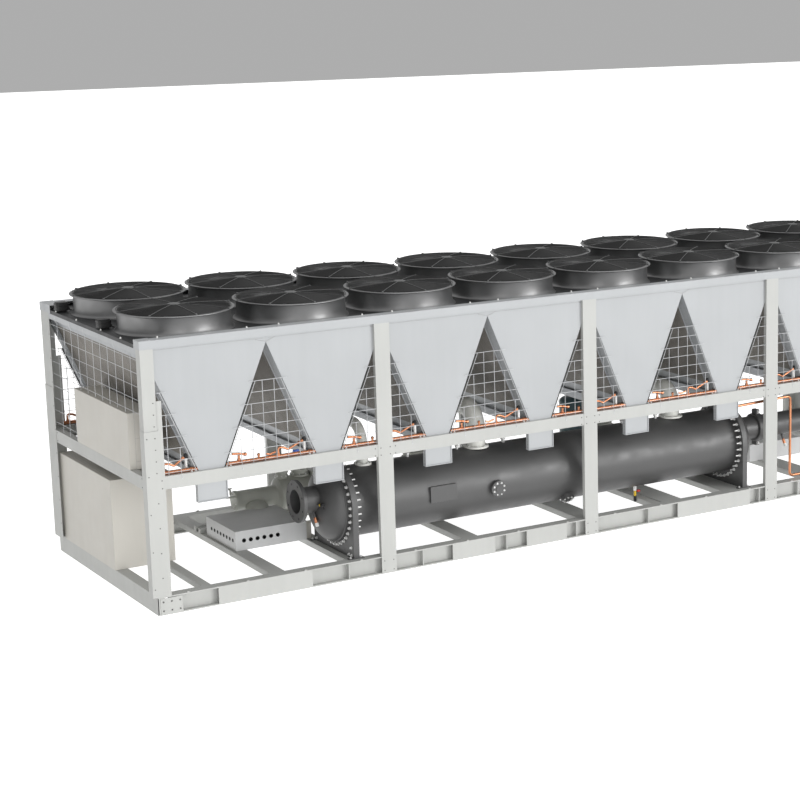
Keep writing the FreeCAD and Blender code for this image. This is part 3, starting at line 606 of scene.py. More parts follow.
def side_mesh(name, side):
    """The mesh of one long side. Its outermost uprights bend out and are screwed to the rail."""
    mesh = Piece(name, "zinc_sheet", "wire")
    inner = MESH_Y + 2 * WIRE_R
    for n in range(VEES + 1):
        for k, z in enumerate(WIRE_ROWS):
            reach = half_opening(z) + (-INSIDE if k % 2 else LAP)
            left, right = max(n - reach, WIRE_END), min(n + reach, LENGTH - WIRE_END)
            mesh.rod(by_side(side, left, MESH_Y, z), by_side(side, right, MESH_Y, z), WIRE_R, 6)
        for way in (-1, 1):
            if 0 < n + way * WIRE_MARGIN < LENGTH:
                foot = n + way * (half_opening(MID_TOP) - INSIDE)
                head = n + way * (half_opening(WIRE_ROWS[0]) - INSIDE)
                top = by_side(side, head, inner, WIRE_ROWS[0])
                mesh.rod(by_side(side, foot, inner, MESH_FOOT), top, WIRE_R, 6)
        for offset in WIRE_OFFSETS:
            top = max(z for z in WIRE_ROWS if half_opening(z) > offset + CLEAR)
            for x in (n - offset, n + offset):
                if x < WIRE_MARGIN or x > LENGTH - WIRE_MARGIN:
                    continue
                if offset < WIRE_OFFSETS[-1]:
                    mesh.rod(by_side(side, x, inner, MESH_FOOT), by_side(side, x, inner, top), WIRE_R, 6)
                    continue
                bend = [(inner, top), (inner, MID_TOP + 0.02), (-0.0004, MID_TOP - 0.004), (-0.0004, 1.076)]
                mesh.tube(rounded([by_side(side, x, y, z) for y, z in bend], 0.012, 3), WIRE_R, 6)
                mesh.screw(by_side(side, x, 0, 1.072), DEEP * -side, 0.006, 0.0026)
    mesh.done()


side_mesh("wire_mesh_front", FRONT)
side_mesh("wire_mesh_rear", REAR)

# Painted shade beside each opening, where the mesh hangs on the panel: a dark strip stands for the shade in
# the gap between the panel's edge and the mesh
gap_shade = Piece("mesh_gap_shade", "zinc_sheet", "dark")
for side in SIDES:
    way = -side
    for n in range(VEES + 1):
        if 0 < n + way * WIRE_MARGIN < LENGTH:
            corners = []
            foot, head = MID_TOP + 0.004, WIRE_ROWS[0]
            for z, inward in ((foot, 0), (head, 0), (head, SHADE_STRIP), (foot, SHADE_STRIP)):
                corners.append(by_side(side, n + way * (half_opening(z) - 0.0004 - inward), PANEL_Y, z))
            gap_shade.prism(corners, DEEP * (side * SHEET))
gap_shade.done()

# Wire mesh over the two ends, hooked on the end rails
END_WIRE_R = 0.0021
END_PITCH_Y = 0.168
END_PITCH_Z = 0.105
END_ROWS = 9
END_ROW_TOP = 2.02
END_MESH_LOW = 1.1
END_MESH_SPAN = (0.075, WIDTH - 0.19)
UPPER_BOX_Y = (0.345, 1.535)
UPPER_BOX_TOP = 1.56


def end_mesh(name, end, beside_box):
    """The mesh of one end. On the left end it stops at the upper control box, where beside_box is true."""
    mesh = Piece(name, "zinc_sheet", "wire")
    plane = from_end(end, -0.028)
    face = from_end(end, -0.0351)
    upright = plane + end * 0.006
    low_y, high_y = END_MESH_SPAN
    count = round((high_y - low_y) / END_PITCH_Y)
    for k in range(END_ROWS):
        z = END_ROW_TOP - END_PITCH_Z * k
        start = UPPER_BOX_Y[1] if beside_box and z < UPPER_BOX_TOP else low_y
        mesh.rod(at(plane, start, z), at(plane, high_y, z), END_WIRE_R, 6)
    for k in range(1, count):
        y = low_y + (high_y - low_y) / count * k
        low = UPPER_BOX_TOP + 0.004 if beside_box and y < UPPER_BOX_Y[1] else END_MESH_LOW
        if k % 2:
            hook = [at(face, y, 2.096), at(face, y, 2.06), at(upright, y, 2.045), at(upright, y, low)]
            mesh.tube(rounded(hook, 0.01, 3), END_WIRE_R, 6)
        else:
            mesh.rod(at(upright, y, END_ROW_TOP + 0.01), at(upright, y, low), END_WIRE_R, 6)
    mesh.done()


end_mesh("wire_mesh_left_end", LEFT, True)
end_mesh("wire_mesh_right_end", RIGHT, False)

# Screws of the posts, rails and caps
BAY = 2.0
SCREW_R = 0.0055
SCREW_H = 0.0028
POST_PITCH = 0.3
PROUD = -0.003
screws = Piece("frame_screws", "frame_paint", "screw_dark")
for side in SIDES:
    out = DEEP * -side
    spots = []
    for k in range(1, 4):
        spots += [(BAY * k + dx, PROUD, z) for dx in (-0.042, 0.042) for z in (0.027, 0.11, 1.015, 1.075)]
        spots += [(BAY * k + dx, 0, z) for dx in (-0.092, 0.092) for z in (1.015, 1.075)]
    for end in ENDS:
        spots += [(from_end(end, 0.049), PROUD, 0.3 + 0.2 * k) for k in range(4)]
        spots += [(from_end(end, 0.048), PROUD if k < 4 else 0, 1.14 + 0.092 * k) for k in range(7)]
        spots += [(from_end(end, -0.017), PROUD, 0.217 + POST_PITCH * k) for k in range(5)]
        spots += [(from_end(end, 0.086), PROUD, z) for z in (1.014, 1.077)]
    for x, depth, z in spots:
        screws.screw(by_side(side, x, depth, z), out, SCREW_R, SCREW_H)
for end in ENDS:
    out = ALONG * -end
    for k in range(9):
        place = at(from_end(end, -0.038 if k < 6 else -0.035), WIDTH - 0.186, 0.29 + 0.205 * k)
        screws.screw(place, out, SCREW_R, 0.0026)
    for y in (WIDTH - 0.225, 0.1):
        for z in (1.02, 1.09):
            screws.screw(at(from_end(end, -0.035), y, z), out, SCREW_R, SCREW_H)
screws.done()


def corner_boxes(name, slot, look, boxes):
    """One piece of a few boxes at each corner, each from an inner and an outer corner point."""
    piece = Piece(name, slot, look)
    for side, end in CORNERS:
        for first, second in boxes:
            piece.box(by_corner(side, end, *first), by_corner(side, end, *second))
    piece.done()


# Cover strips, seams and rail ends of the corner posts, and the plates over the end beams' outer sides
BAND_TOP = TOP_TOP + 0.0005
corner_boxes("corner_cover_strips", "frame_paint", None, [((0.0705, -0.002, 1.474), (0.0785, 0.002, 1.704))])
corner_boxes("corner_seams", "frame_paint", "seam", [((-0.038, -0.0032, 1.4715), (0.07, 0, 1.4735))])
corner_boxes("corner_rail_ends", "panel_paint", "rail", [
    ((-0.0392, -0.0042, TOP_LOW), (0.078, 0, BAND_TOP)), ((-0.0392, 0, TOP_LOW), (-0.036, 0.11, BAND_TOP)),
])
PLATE_LOW = 0.0098
PLATE_HIGH = 0.1402
PLATE_SIDE = 0.0002
end_plates = Piece("end_beam_plates", "frame_paint")
for end in ENDS:
    low = by_corner(FRONT, end, 0, PLATE_SIDE, PLATE_LOW)
    end_plates.box(low, by_corner(REAR, end, 0.006, PLATE_SIDE, PLATE_HIGH))
    for side in SIDES:
        low = by_corner(side, end, 0, PLATE_SIDE, PLATE_LOW)
        end_plates.box(low, by_corner(side, end, 0.046, 0.004, PLATE_HIGH))
end_plates.done()

# Shallow cross members between the base beams
MEMBER_SHEET = 0.008
MEMBER_INSET = 0.1
MEMBER_LOW = 0.1
MEMBER_SPANS = [
    (0.4, 0.478), (0.985, 1.11), (1.65, 1.768), (2.75, 2.9), (3.9, 4.1), (4.72, 4.8), (4.82, 5.035),
    (5.495, 5.768), (6.48, 6.7), (7.522, 7.6),
]
members = Piece("base_members_shallow", "frame_paint")
for x0, x1 in MEMBER_SPANS:
    fold = BASE_TOP - MEMBER_SHEET
    members.box(at(x0, MEMBER_INSET, fold), at(x1, WIDTH - MEMBER_INSET, BASE_TOP))
    for x in (x0, x1 - MEMBER_SHEET):
        members.box(at(x, MEMBER_INSET, MEMBER_LOW), at(x + MEMBER_SHEET, WIDTH - MEMBER_INSET, fold))
members.done(bevel=0.0015, replaces=["base_cross_members"])

# Pale screws along the top rails, and nubs along the base beams
knobs = Piece("top_rail_screws", "frame_paint", "white")
nubs = Piece("base_nubs", "frame_paint")
for side in SIDES:
    for x in (n + dx for n in range(VEES + 1) for dx in (-0.125, 0.145)):
        if 0 < x < LENGTH:
            knobs.screw(by_side(side, x, 0.09, TOP_TOP), UP, 0.008, 0.013)
    for k in range(16):
        x = 0.25 + 0.5 * k
        nubs.box(by_side(side, x - 0.011, 0.001, BASE_TOP - 0.0005), by_side(side, x + 0.011, 0.016, 0.158))
for end in ENDS:
    for y in (0.42, 0.85, 1.41, 1.9):
        knobs.screw(at(from_end(end, -0.024), y, DECK), UP, 0.008, 0.012)
knobs.done()
nubs.done(bevel=0.002)

# Bolts of the corner plates on the base, and notches on the corner caps
plate_bolts = Piece("base_plate_bolts", "frame_paint", "screw_dark")
for side, end in CORNERS:
    for dx in (0.042, 0.11, 0.178):
        for z in (0.034, 0.106):
            plate_bolts.bolt(by_corner(side, end, dx, PROUD, z), DEEP * -side, 0.0055, 0.006)
plate_bolts.done()
NOTCH = ((-0.03, 0.012, 2.1808), (0.024, 0.0155, 2.1814))
corner_boxes("cap_notches", "frame_paint", "screw_dark", [NOTCH])

# Seams and small folds on the panels
folds = Piece("panel_seams", "panel_paint", "seam")
SEAM = 0.0004
for side in SIDES:
    out = DEEP * -side
    front = PANEL_Y - SEAM
    for n in range(VEES):
        folds.box(by_side(side, n + 0.02, PANEL_Y, 2.095), by_side(side, n + 0.98, front, 2.098))
    for n in range(1, VEES):
        for reach, rise in ((-0.085, 0.022), (0.075, 0.03)):
            tip = by_side(side, n + reach, front, COIL_TOP + 0.003 + rise)
            folds.rod(by_side(side, n, front, COIL_TOP + 0.003), tip, 0.0016, 5)
            folds.screw(tip, out, 0.004, 0.0015)
        for dx in (-0.012, 0.012):
            folds.screw(by_side(side, n + dx, 0, 2.16), out, 0.004, 0.002)
folds.done()

# Round-edged junction boxes on the deck, each with a lid and a short cable to its fan
boxes = Piece("junction_boxes_rounded", "fan_black", "guard")
cables = Piece("junction_cables", "fan_black", "dark")
BOX_ROUND = 0.02
for y0 in (0.87, 1.855):
    x0, x1 = -0.028, 0.076
    y1 = y0 + 0.09
    for low, high, inset in ((0.012, 0.05, 0.0), (0.0505, 0.0705, -0.0015), (0.071, 0.08, 0.004)):
        corners = []
        for cx, cy, start in ((x1, y1, 0), (x0, y1, 1), (x0, y0, 2), (x1, y0, 3)):
            mx = cx - copysign(BOX_ROUND + inset, cx - (x0 + x1) / 2)
            my = cy - copysign(BOX_ROUND + inset, cy - (y0 + y1) / 2)
            for k in range(5):
                angle = pi / 2 * (start + k / 4)
                corners.append(at(mx, my, DECK + low) + around(ALONG, DEEP, BOX_ROUND, angle))
        boxes.prism(corners, UP * (high - low))
    boxes.box(at(x0 + 0.02, y0 + 0.02, DECK), at(x1 - 0.015, y1 - 0.02, DECK + 0.014))
    path = [at(x1 - 0.004, y0 + 0.05, DECK + 0.03), at(x1 + 0.012, y0 + 0.05, DECK + 0.03),
            at(x1 + 0.016, y0 + 0.045, DECK + 0.008), at(x1 + 0.03, y0 + 0.03, DECK + 0.008)]
    cables.tube(rounded(path, 0.01, 3), 0.0055, 8)
boxes.done(bevel=0.003, replaces=["junction_boxes"])
cables.done()

# Control boxes with soft edges and thin door seams
lower = Piece("control_box_lower_shell", "box_cream")
lower.box(at(-0.01, 0.897, BASE_TOP), at(0.505, 2.095, 0.905))
lower.done(bevel=0.004, replaces=["control_box_lower"])
upper = Piece("control_box_upper_shell", "box_cream")
upper.box(at(-0.036, UPPER_BOX_Y[0], MID_TOP), at(0.18, UPPER_BOX_Y[1], UPPER_BOX_TOP))
upper.done(bevel=0.004, replaces=["control_box_upper"])
door = Piece("control_box_seams", "box_cream", "seam")
SEAM_W = 0.0016
door.box(at(0.018, 0.3446, MID_TOP + 0.004), at(0.018 + SEAM_W, 0.345, 1.556))
for z in (1.352, 1.168):
    door.box(at(0.0196, 0.3446, z), at(0.176, 0.345, z + SEAM_W))
door.box(at(0.014, 0.349, 1.56), at(0.014 + SEAM_W, 1.531, 1.56 + SEAM))
door.box(at(0.03, 0.901, 0.905), at(0.03 + SEAM_W, 2.09, 0.905 + SEAM))
door.done()

# Foot boxes under the middle rail: an inset face in a folded frame, with slots in its sides
FOLD = 0.008
BOX_HALF = 0.125
BOX_LOW = MID_LOW - 0.152
feet = Piece("foot_boxes_folded", "panel_paint")
slots = Piece("foot_box_slots", "panel_paint", "seam")
for side in SIDES:
    for n in range(VEES):
        x0, x1 = n + 0.5 - BOX_HALF, n + 0.5 + BOX_HALF
        fold = BOX_LOW + FOLD
        for a, b, low, high in ((x0, x0 + FOLD, BOX_LOW, MID_LOW), (x1 - FOLD, x1, BOX_LOW, MID_LOW),
                                (x0 + FOLD, x1 - FOLD, BOX_LOW, fold)):
            feet.box(by_side(side, a, 0.012, low), by_side(side, b, 0.06, high))
        feet.box(by_side(side, x0 + FOLD, 0.019, fold), by_side(side, x1 - FOLD, 0.06, MID_LOW))
        for z in (BOX_LOW + 0.017 + 0.026 * k for k in range(5)):
            for x in (x0 - SEAM, x1 + SEAM):
                slots.box(by_side(side, x - SEAM, 0.03, z), by_side(side, x + SEAM, 0.042, z + 0.01))
feet.done(bevel=0.0015, replaces=["foot_boxes_front", "foot_boxes_rear"])
slots.done()

# Cable boxes: a lid with a folded edge, cable holes with grommets and a cream plate beside them
CABLE_Y = (0.845, 1.465)
HOLE_Z = 0.235
cable_lids = Piece("cable_box_shells", "box_grey")
grommets = Piece("cable_box_holes", "box_grey", "dark")
cream_plates = Piece("cable_box_plates", "box_cream")
for x0, x1, front_holes in ((1.01, 1.655, 6), (6.383, 7.01, 0)):
    y0, y1 = CABLE_Y
    cable_lids.box(at(x0, y0, BASE_TOP), at(x1, y1, 0.317))
    cable_lids.box(at(x0 - 0.001, y0 - 0.001, 0.3135), at(x1 + 0.001, y1 + 0.001, 0.32))
    for k in range(front_holes):
        place = at(x0 + 0.075 + 0.061 * k, y0, HOLE_Z)
        grommets.turned(place, -DEEP, [(0, 0.018), (0.002, 0.018), (0.002, 0.013), (0, 0.012)], 20)
    for k in range(8):
        place = at(x0 - 0.001, 0.9 + 0.064 * k, HOLE_Z)
        grommets.turned(place, -ALONG, [(0, 0.016), (0.0012, 0.016), (0.0012, 0)], 14)
    cream_plates.box(at(x1 + 0.0015, 0.862, BASE_TOP + 0.001), at(x1 + 0.052, 0.878, 0.305))
    cream_plates.box(at(x1 + 0.0015, 0.878, BASE_TOP + 0.001), at(x1 + 0.006, 1.42, 0.305))
cable_lids.done(bevel=0.0025, replaces=["cable_boxes"])
grommets.done()
cream_plates.done(bevel=0.0015)

# Evaporator: domed heads, bolt rings on the end plates, a cover, ports and fittings on the shell
PLATES = (1.71, 5.71)
PLATE = 0.05
RING_R = 0.344
RING_BOLTS = 36


def on_shell(x):
    """A point on the shell's axis."""
    return at(x, SHELL_Y, SHELL_Z)


heads = Piece("evaporator_domes", "vessel_dark")
ring_bolts = Piece("evaporator_bolts", "vessel_dark", "bolt")
for x, way in ((PLATES[0], -1), (PLATES[1] + PLATE, 1)):
    profile = [(0, 0.322), (0.024, 0.322), (0.028, 0.319), (0.03, 0.313)]
    for k in range(1, 12):
        angle = k * pi / 24
        profile.append((0.03 + 0.15 * sin(angle), 0.31 * cos(angle)))
    heads.turned(on_shell(x), ALONG * way, profile + [(0.18, 0)], 56)
    inner = x - way * PLATE
    for angle in half_steps(RING_BOLTS):
        offset = around(DEEP, UP, RING_R, angle)
        ring_bolts.bolt(on_shell(x) + offset, ALONG * way, 0.011, 0.018)
        ring_bolts.bolt(on_shell(inner) + offset, ALONG * -way, 0.011, 0.018)
        stud = on_shell(inner - way * 0.012) + offset
        ring_bolts.rod(stud, stud - ALONG * (way * 0.033), 0.0065, 8)
    for y, z in ((0.1, 0.175), (0.145, 0.175), (0.1, 0.24), (0.76, 0.175)):
        ring_bolts.bolt(at(x, y, z), ALONG * way, 0.01, 0.015)
heads.done(replaces=["evaporator_heads"])
ring_bolts.done()

fittings = Piece("evaporator_fittings", "vessel_dark")
bright = Piece("evaporator_port_bolts", "vessel_dark", "bolt")
for x in PLATES:
    for y in (0.07, 0.79):
        for foot, reach in ((x, -0.045), (x + PLATE, 0.045)):
            fittings.box(at(foot, y - 0.012, BASE_TOP + 0.0002), at(foot + reach, y + 0.03, 0.158))
            bright.bolt(at(foot + reach / 2, y + 0.009, 0.158), UP, 0.008, 0.012)
# Flanges of the two closed ports, with a raised middle and eight bolts
for x, angle, radius in ((3.122, -3.2, 0.072), (3.89, -50.0, 0.06)):
    out = around(-DEEP, UP, 1.0, radians(angle))
    up = around(UP, DEEP, 1.0, radians(angle))
    foot = on_shell(x) + out * (SHELL_R - 0.004)
    wide, neck = radius + 0.001, radius * 0.62
    fittings.turned(foot, out, [(0, neck), (0.012, neck), (0.014, wide), (0.03, wide)], 32)
    fittings.turned(foot + out * 0.03, out, [(0, wide), (0.011, wide), (0.011, 0)], 32)
    fittings.turned(foot + out * 0.041, out, [(0, radius * 0.44), (0.004, radius * 0.42), (0.004, 0)], 24)
    for turn in half_steps(8):
        bright.bolt(foot + around(ALONG, up, radius * 0.74, turn) + out * 0.041, out, 0.0068, 0.009)
# Weld seams round the shell, and small stubs along its top: place, radius and height
for x in (1.764, 5.706):
    weld = [(0, SHELL_R - 0.001), (0.004, SHELL_R + 0.0022), (0.008, SHELL_R - 0.001)]
    fittings.turned(on_shell(x - 0.004), ALONG, weld, 56)
STUBS = [
    (2.42, 0.014, 0.05), (2.9, 0.012, 0.045), (3.36, 0.016, 0.06), (4.3, 0.014, 0.05), (4.62, 0.02, 0.04),
    (4.98, 0.014, 0.055),
]
for x, radius, height in STUBS:
    nut = [(height * 0.5, radius), (height * 0.5, radius * 1.5), (height * 0.8, radius * 1.5)]
    profile = [(0, radius)] + nut + [(height, radius * 0.6), (height, 0)]
    bright.turned(on_shell(x) + UP * (SHELL_R - 0.002), UP, profile, 12)
fittings.done(bevel=0.0015)
bright.done()
cover = Piece("shell_cover_lid", "vessel_dark")
cover.box(at(2.469, 0.1145, 0.497), at(2.721, 0.1182, 0.638))
cover.done(bevel=0.0016)

# Water pipes: round nozzles and outlet pipe with flanges, a grooved coupling and bolt holes
PIPE_R = 0.109
BORE_R = 0.101
FLANGE_R = 0.18
FLANGE = 0.032
INLET = 1.375
HEAD_LEFT = 1.62
HEAD_RIGHT = 5.84
OUTLET = 6.14
PIPE_END = 7.8
LUG = 0.15


def on_nozzle(x):
    """A point on the water pipes' axis."""
    return at(x, SHELL_Y, NOZZLE_Z)


def water_pipe(piece, start, stop, flanged):
    """An open pipe along X, with a flange at its start where asked."""
    length = abs(stop - start)
    outer = [(0, PIPE_R)]
    if flanged:
        outer = [
            (0, FLANGE_R - 0.003), (0.003, FLANGE_R), (FLANGE - 0.003, FLANGE_R), (FLANGE, FLANGE_R - 0.003),
            (FLANGE, PIPE_R + 0.012), (FLANGE + 0.012, PIPE_R),
        ]
    profile = outer + [(length, PIPE_R), (length, BORE_R), (0, BORE_R)]
    piece.turned(on_nozzle(start), ALONG * copysign(1, stop - start), profile, 48, closed=True)


pipes = Piece("water_pipes", "vessel_dark")
nozzles = Piece("water_nozzles_smooth", "vessel_dark")
water_pipe(nozzles, INLET, HEAD_LEFT, True)
water_pipe(nozzles, HEAD_RIGHT, OUTLET, False)
nozzles.done(replaces=["water_nozzles"])
water_pipe(pipes, PIPE_END, OUTLET, True)
clamp = [(-0.04, PIPE_R), (-0.04, 0.127), (-0.032, 0.133), (0.032, 0.133), (0.04, 0.127), (0.04, PIPE_R)]
pipes.turned(on_nozzle(OUTLET), ALONG, clamp, 48, closed=True)
pipe_bolts = Piece("water_flange_bolts", "vessel_dark", "bolt")
for rise in (LUG, -LUG):
    lug = on_nozzle(OUTLET) + UP * rise
    pipes.box(lug - Vector((0.02, 0.035, 0.022)), lug + Vector((0.02, 0.035, 0.022)))
    for way in (-1, 1):
        pipe_bolts.bolt(lug + DEEP * (way * 0.035), DEEP * way, 0.011, 0.02)
pipes.done(replaces=["outlet_pipe"])
pipe_bolts.done()
# Painted shade: dark discs on the flanges stand for the shade inside the bolt holes
holes = Piece("water_flange_holes", "vessel_dark", "dark")
for x, way in ((INLET, -1), (PIPE_END, 1)):
    for turn in half_steps(8):
        place = on_nozzle(x) + around(DEEP, UP, 0.148, turn)
        holes.turned(place, ALONG * way, [(0, 0.01), (0.0004, 0.01), (0.0004, 0)], 14)
holes.done()


# Small valves and taps: dark and copper bodies with coloured ends
def valve(name, start, out, length, radius, parts):
    """A small valve on a pipe, from parts with a slot, a look, a share of the length and a width."""
    for k, (slot, look, share, wide) in enumerate(parts):
        piece = Piece("%s_%d" % (name, k + 1), slot, look)
        reach = length * share
        girth = radius * wide
        piece.turned(start, out, [(0, girth), (reach * 0.85, girth), (reach, girth * 0.8), (reach, 0)], 12)
        piece.done()
        start = start + out * reach


def lever(name, look, first, second):
    piece = Piece(name, "vessel_dark", look)
    piece.box(first, second)
    piece.done(bevel=0.0015)


forward = Vector((0.2, -1, 0.15)).normalized()
downward = Vector((0.05, -0.45, -0.9)).normalized()
nozzle_side = on_nozzle(1.53)
valve("inlet_valve", nozzle_side + Vector((0, -0.104, -0.03)), forward, 0.075, 0.011, [
    ("vessel_dark", None, 0.35, 1.1), ("copper", "yellow", 0.25, 1.0),
    ("vessel_dark", "dark", 0.4, 1.3),
])
first = nozzle_side + Vector((0.018, -0.172, -0.058))
lever("inlet_valve_lever", "dark", first, first + Vector((0.014, 0.008, 0.034)))
for n, x in enumerate((1.52, 6.43)):
    valve("drain_tap_%d" % (n + 1), on_nozzle(x) + Vector((0, -0.03, -0.1)), downward, 0.13, 0.0125, [
        ("vessel_dark", None, 0.42, 1.0), ("copper", None, 0.36, 1.15), ("box_grey", "white", 0.22, 1.25),
    ])
valve("shell_drain", at(4.71, SHELL_Y - 0.06, SHELL_Z - 0.292), -UP, 0.145, 0.012, [
    ("vessel_dark", "bolt", 0.3, 1.3), ("copper", "yellow", 0.34, 1.0),
    ("vessel_dark", "dark", 0.36, 1.15),
])
lever("shell_drain_lever", "red", at(4.722, SHELL_Y - 0.085, 0.205), at(4.752, SHELL_Y - 0.066, 0.222))

# Suction pipes: smooth bends with a collar on the shell and a flange on the compressor
STACK_TOP = 0.6
suction = Piece("suction_pipes_smooth", "pipe_grey")
collars = Piece("suction_collars", "pipe_grey")
suction_bolts = Piece("suction_bolts", "pipe_grey", "bolt")
# Place, radius, bend and height of each pipe
SUCTION = ((2.0, 0.0445, 0.168, 1.182), (3.09, 0.081, 0.218, 1.18), (5.15, 0.0805, 0.228, 1.106))
for x, radius, bend, top in SUCTION:
    foot_z = SHELL_Z + sqrt(SHELL_R ** 2 - radius ** 2) - 0.004
    stack = at(x, COMPRESSOR_Y, STACK_TOP)
    path = [at(x, SHELL_Y, foot_z), at(x, SHELL_Y, top), at(x, COMPRESSOR_Y, top), stack]
    suction.tube(rounded(path, bend, 14), radius, 36)
    wide = radius + 0.03
    collar = [(0, wide), (0.014, wide), (0.017, wide - 0.003), (0.017, radius)]
    collars.turned(at(x, SHELL_Y, 0.845), UP, collar, 36)
    collars.turned(stack, UP, [(0, radius + 0.022), (0.016, radius + 0.022), (0.016, radius)], 36)
    ring_of_bolts(suction_bolts, at(x, SHELL_Y, 0.862), UP, radius + 0.016, 8, 0.006, 0.01)
suction.done(replaces=["suction_pipes"])
collars.done()
suction_bolts.done()

# Compressors: a small barrel, a bolted joint, a larger housing, stacks with flanges and feet
compressors = Piece("compressors_smooth", "compressor_olive")
comp_bolts = Piece("compressor_bolts", "compressor_olive", "bolt")
body_profile = [
    (0, 0), (0, 0.07), (0.004, 0.084), (0.01, 0.088), (0.03, 0.088), (0.031, 0.083), (0.36, 0.083),
    (0.385, 0.094), (0.4, 0.125), (0.41, 0.141), (0.43, 0.149), (0.46, 0.15), (0.8, 0.15), (0.815, 0.155),
    (0.82, 0.17), (0.822, 0.172), (0.836, 0.172), (0.838, 0.1695), (0.84, 0.172), (0.854, 0.172),
    (0.856, 0.17), (0.861, 0.155), (0.876, 0.15), (1.06, 0.148), (1.085, 0.146), (1.088, 0.15),
    (1.112, 0.15), (1.12, 0.142), (1.12, 0),
]
FOOT_TOP = 0.204
# Start of each compressor, its direction, and its stacks with their radius
COMPRESSORS = (
    (1.33, 1, ((1.79, 0.06), (1.96, 0.085))), (2.48, 1, ((3.09, 0.105),)), (5.99, -1, ((5.15, 0.105),)),
)
# Bolt rings of a compressor: place along it, side they face, ring, count, and size of the bolts
BOLT_RINGS = (
    (0.822, -1, 0.162, 18, 0.007, 0.009), (1.119, 1, 0.118, 12, 0.009, 0.012),
    (0.001, -1, 0.058, 6, 0.006, 0.008),
)
for start, way, stacks in COMPRESSORS:
    centre = at(start, COMPRESSOR_Y, COMPRESSOR_Z)
    compressors.turned(centre, ALONG * way, body_profile, 44)
    for reach, facing, *ring in BOLT_RINGS:
        ring_of_bolts(comp_bolts, centre + ALONG * (way * reach), ALONG * (way * facing), *ring)
    for reach in (0.46, 1.0):
        a, b = sorted((start + way * reach, start + way * (reach + 0.06)))
        for inset, half, low, high in ((0.018, 0.066, 0.203, COMPRESSOR_Z), (0.0, 0.07, 0.19, FOOT_TOP)):
            compressors.box(at(a + inset, COMPRESSOR_Y - half, low), at(b - inset, COMPRESSOR_Y + half, high))
        for dy in (-0.05, 0.05):
            comp_bolts.bolt(at(a + 0.009, COMPRESSOR_Y + dy, FOOT_TOP), UP, 0.006, 0.009)
    for x, radius in stacks:
        neck = radius * 0.74
        profile = [
            (0, neck), (0.138, neck), (0.142, radius), (0.16, radius), (0.161, radius * 0.9),
            (0.176, radius * 0.84), (0.192, radius * 0.9), (0.193, radius), (0.211, radius),
            (0.212, radius * 0.92), (0.23, radius), (0.23, 0),
        ]
        foot = at(x, COMPRESSOR_Y, COMPRESSOR_Z)
        compressors.turned(foot, UP, profile, 32)
        ring_of_bolts(comp_bolts, foot + UP * 0.211, UP, radius * 0.86, 8, 0.0075, 0.02)
        ring_of_bolts(comp_bolts, foot + UP * 0.16, UP, radius * 0.86, 8, 0.0065, 0.012)
# Sump bowl in front of the first barrel, and the terminal cover on each housing
bowl = [(0, 0), (0, 0.098), (0.05, 0.1), (0.075, 0.094), (0.1, 0.07), (0.11, 0.034), (0.112, 0)]
for x in (1.5, 2.65):
    compressors.turned(at(x, COMPRESSOR_Y - 0.115, 0.262), UP, bowl, 32)
for x in (2.12, 3.27, 5.2):
    compressors.box(at(x - 0.075, COMPRESSOR_Y - 0.075, 0.5), at(x + 0.075, COMPRESSOR_Y + 0.06, 0.548))
compressors.done(bevel=0.003, replaces=["compressors"])
comp_bolts.done()
loop = Piece("compressor_oil_loop", "compressor_olive")
LOOP_Y = COMPRESSOR_Y - 0.05
path = [
    at(1.335, LOOP_Y, 0.42), at(1.225, LOOP_Y, 0.42), at(1.225, LOOP_Y, 0.5), at(1.285, LOOP_Y, 0.5),
    at(1.285, LOOP_Y, 0.44),
]
loop.tube(rounded(path, 0.026, 6), 0.0085, 12)
loop.turned(at(1.225, LOOP_Y, 0.452), UP, [(0, 0.008), (0, 0.015), (0.03, 0.015), (0.03, 0.008)], 12)
loop.box(at(1.2, LOOP_Y - 0.012, 0.495), at(1.3, LOOP_Y + 0.012, 0.5005))
loop.done(bevel=0.0012)

# Oil separator: a round vessel with a dished top, a sight glass and its plate
separator = Piece("oil_separator_smooth", "separator_teal")
SEP_X = 4.7
SEP_Y = COMPRESSOR_Y - 0.196
SEP_R = 0.125
profile = [(0.008, 0), (0.008, SEP_R), (0.7, SEP_R), (0.723, SEP_R)]
for k in range(1, 8):
    angle = k * pi / 16
    profile.append((0.723 + 0.062 * sin(angle), SEP_R * cos(angle)))
separator.turned(at(SEP_X, SEP_Y, BASE_TOP), UP, profile + [(0.785, 0)], 40)
separator.box(at(SEP_X - SEP_R, SEP_Y - SEP_R, BASE_TOP), at(SEP_X + SEP_R + 0.08, SEP_Y + SEP_R, 0.158))
for z in (0.3, 0.86):
    separator.turned(at(SEP_X, SEP_Y, z), UP, [(0, SEP_R), (0.003, SEP_R + 0.0025), (0.006, SEP_R)], 40)
separator.done(replaces=["oil_separator"])
sep_bolts = Piece("oil_separator_bolts", "separator_teal", "bolt")
for dx, dy in ((-0.105, -0.105), (-0.105, 0.105), (0.185, -0.105), (0.185, 0.105)):
    sep_bolts.bolt(at(SEP_X + dx, SEP_Y + dy, 0.158), UP, 0.008, 0.011)
glass = [(0, 0.022), (0.01, 0.022), (0.01, 0.014), (0.006, 0)]
sep_bolts.turned(at(SEP_X, SEP_Y - SEP_R + 0.002, 0.55), -DEEP, glass, 20)
sep_bolts.done()

# Copper lines on the middle rails: the headers with their stubs, risers and slanting branches
HEADER_R = 0.016
HEADER_Y = 0.0413
HEADER_Z = MID_TOP + HEADER_R
BRANCH_R = 0.0095
copper = Piece("copper_lines", "copper")


def sleeve(foot, axis, pipe, wide, length, slant=0.004, sides=12):
    """A soldered sleeve on a pipe, with sloping ends."""
    copper.turned(foot, axis, [(0, pipe), (slant, wide), (length - slant, wide), (length, pipe)], sides)


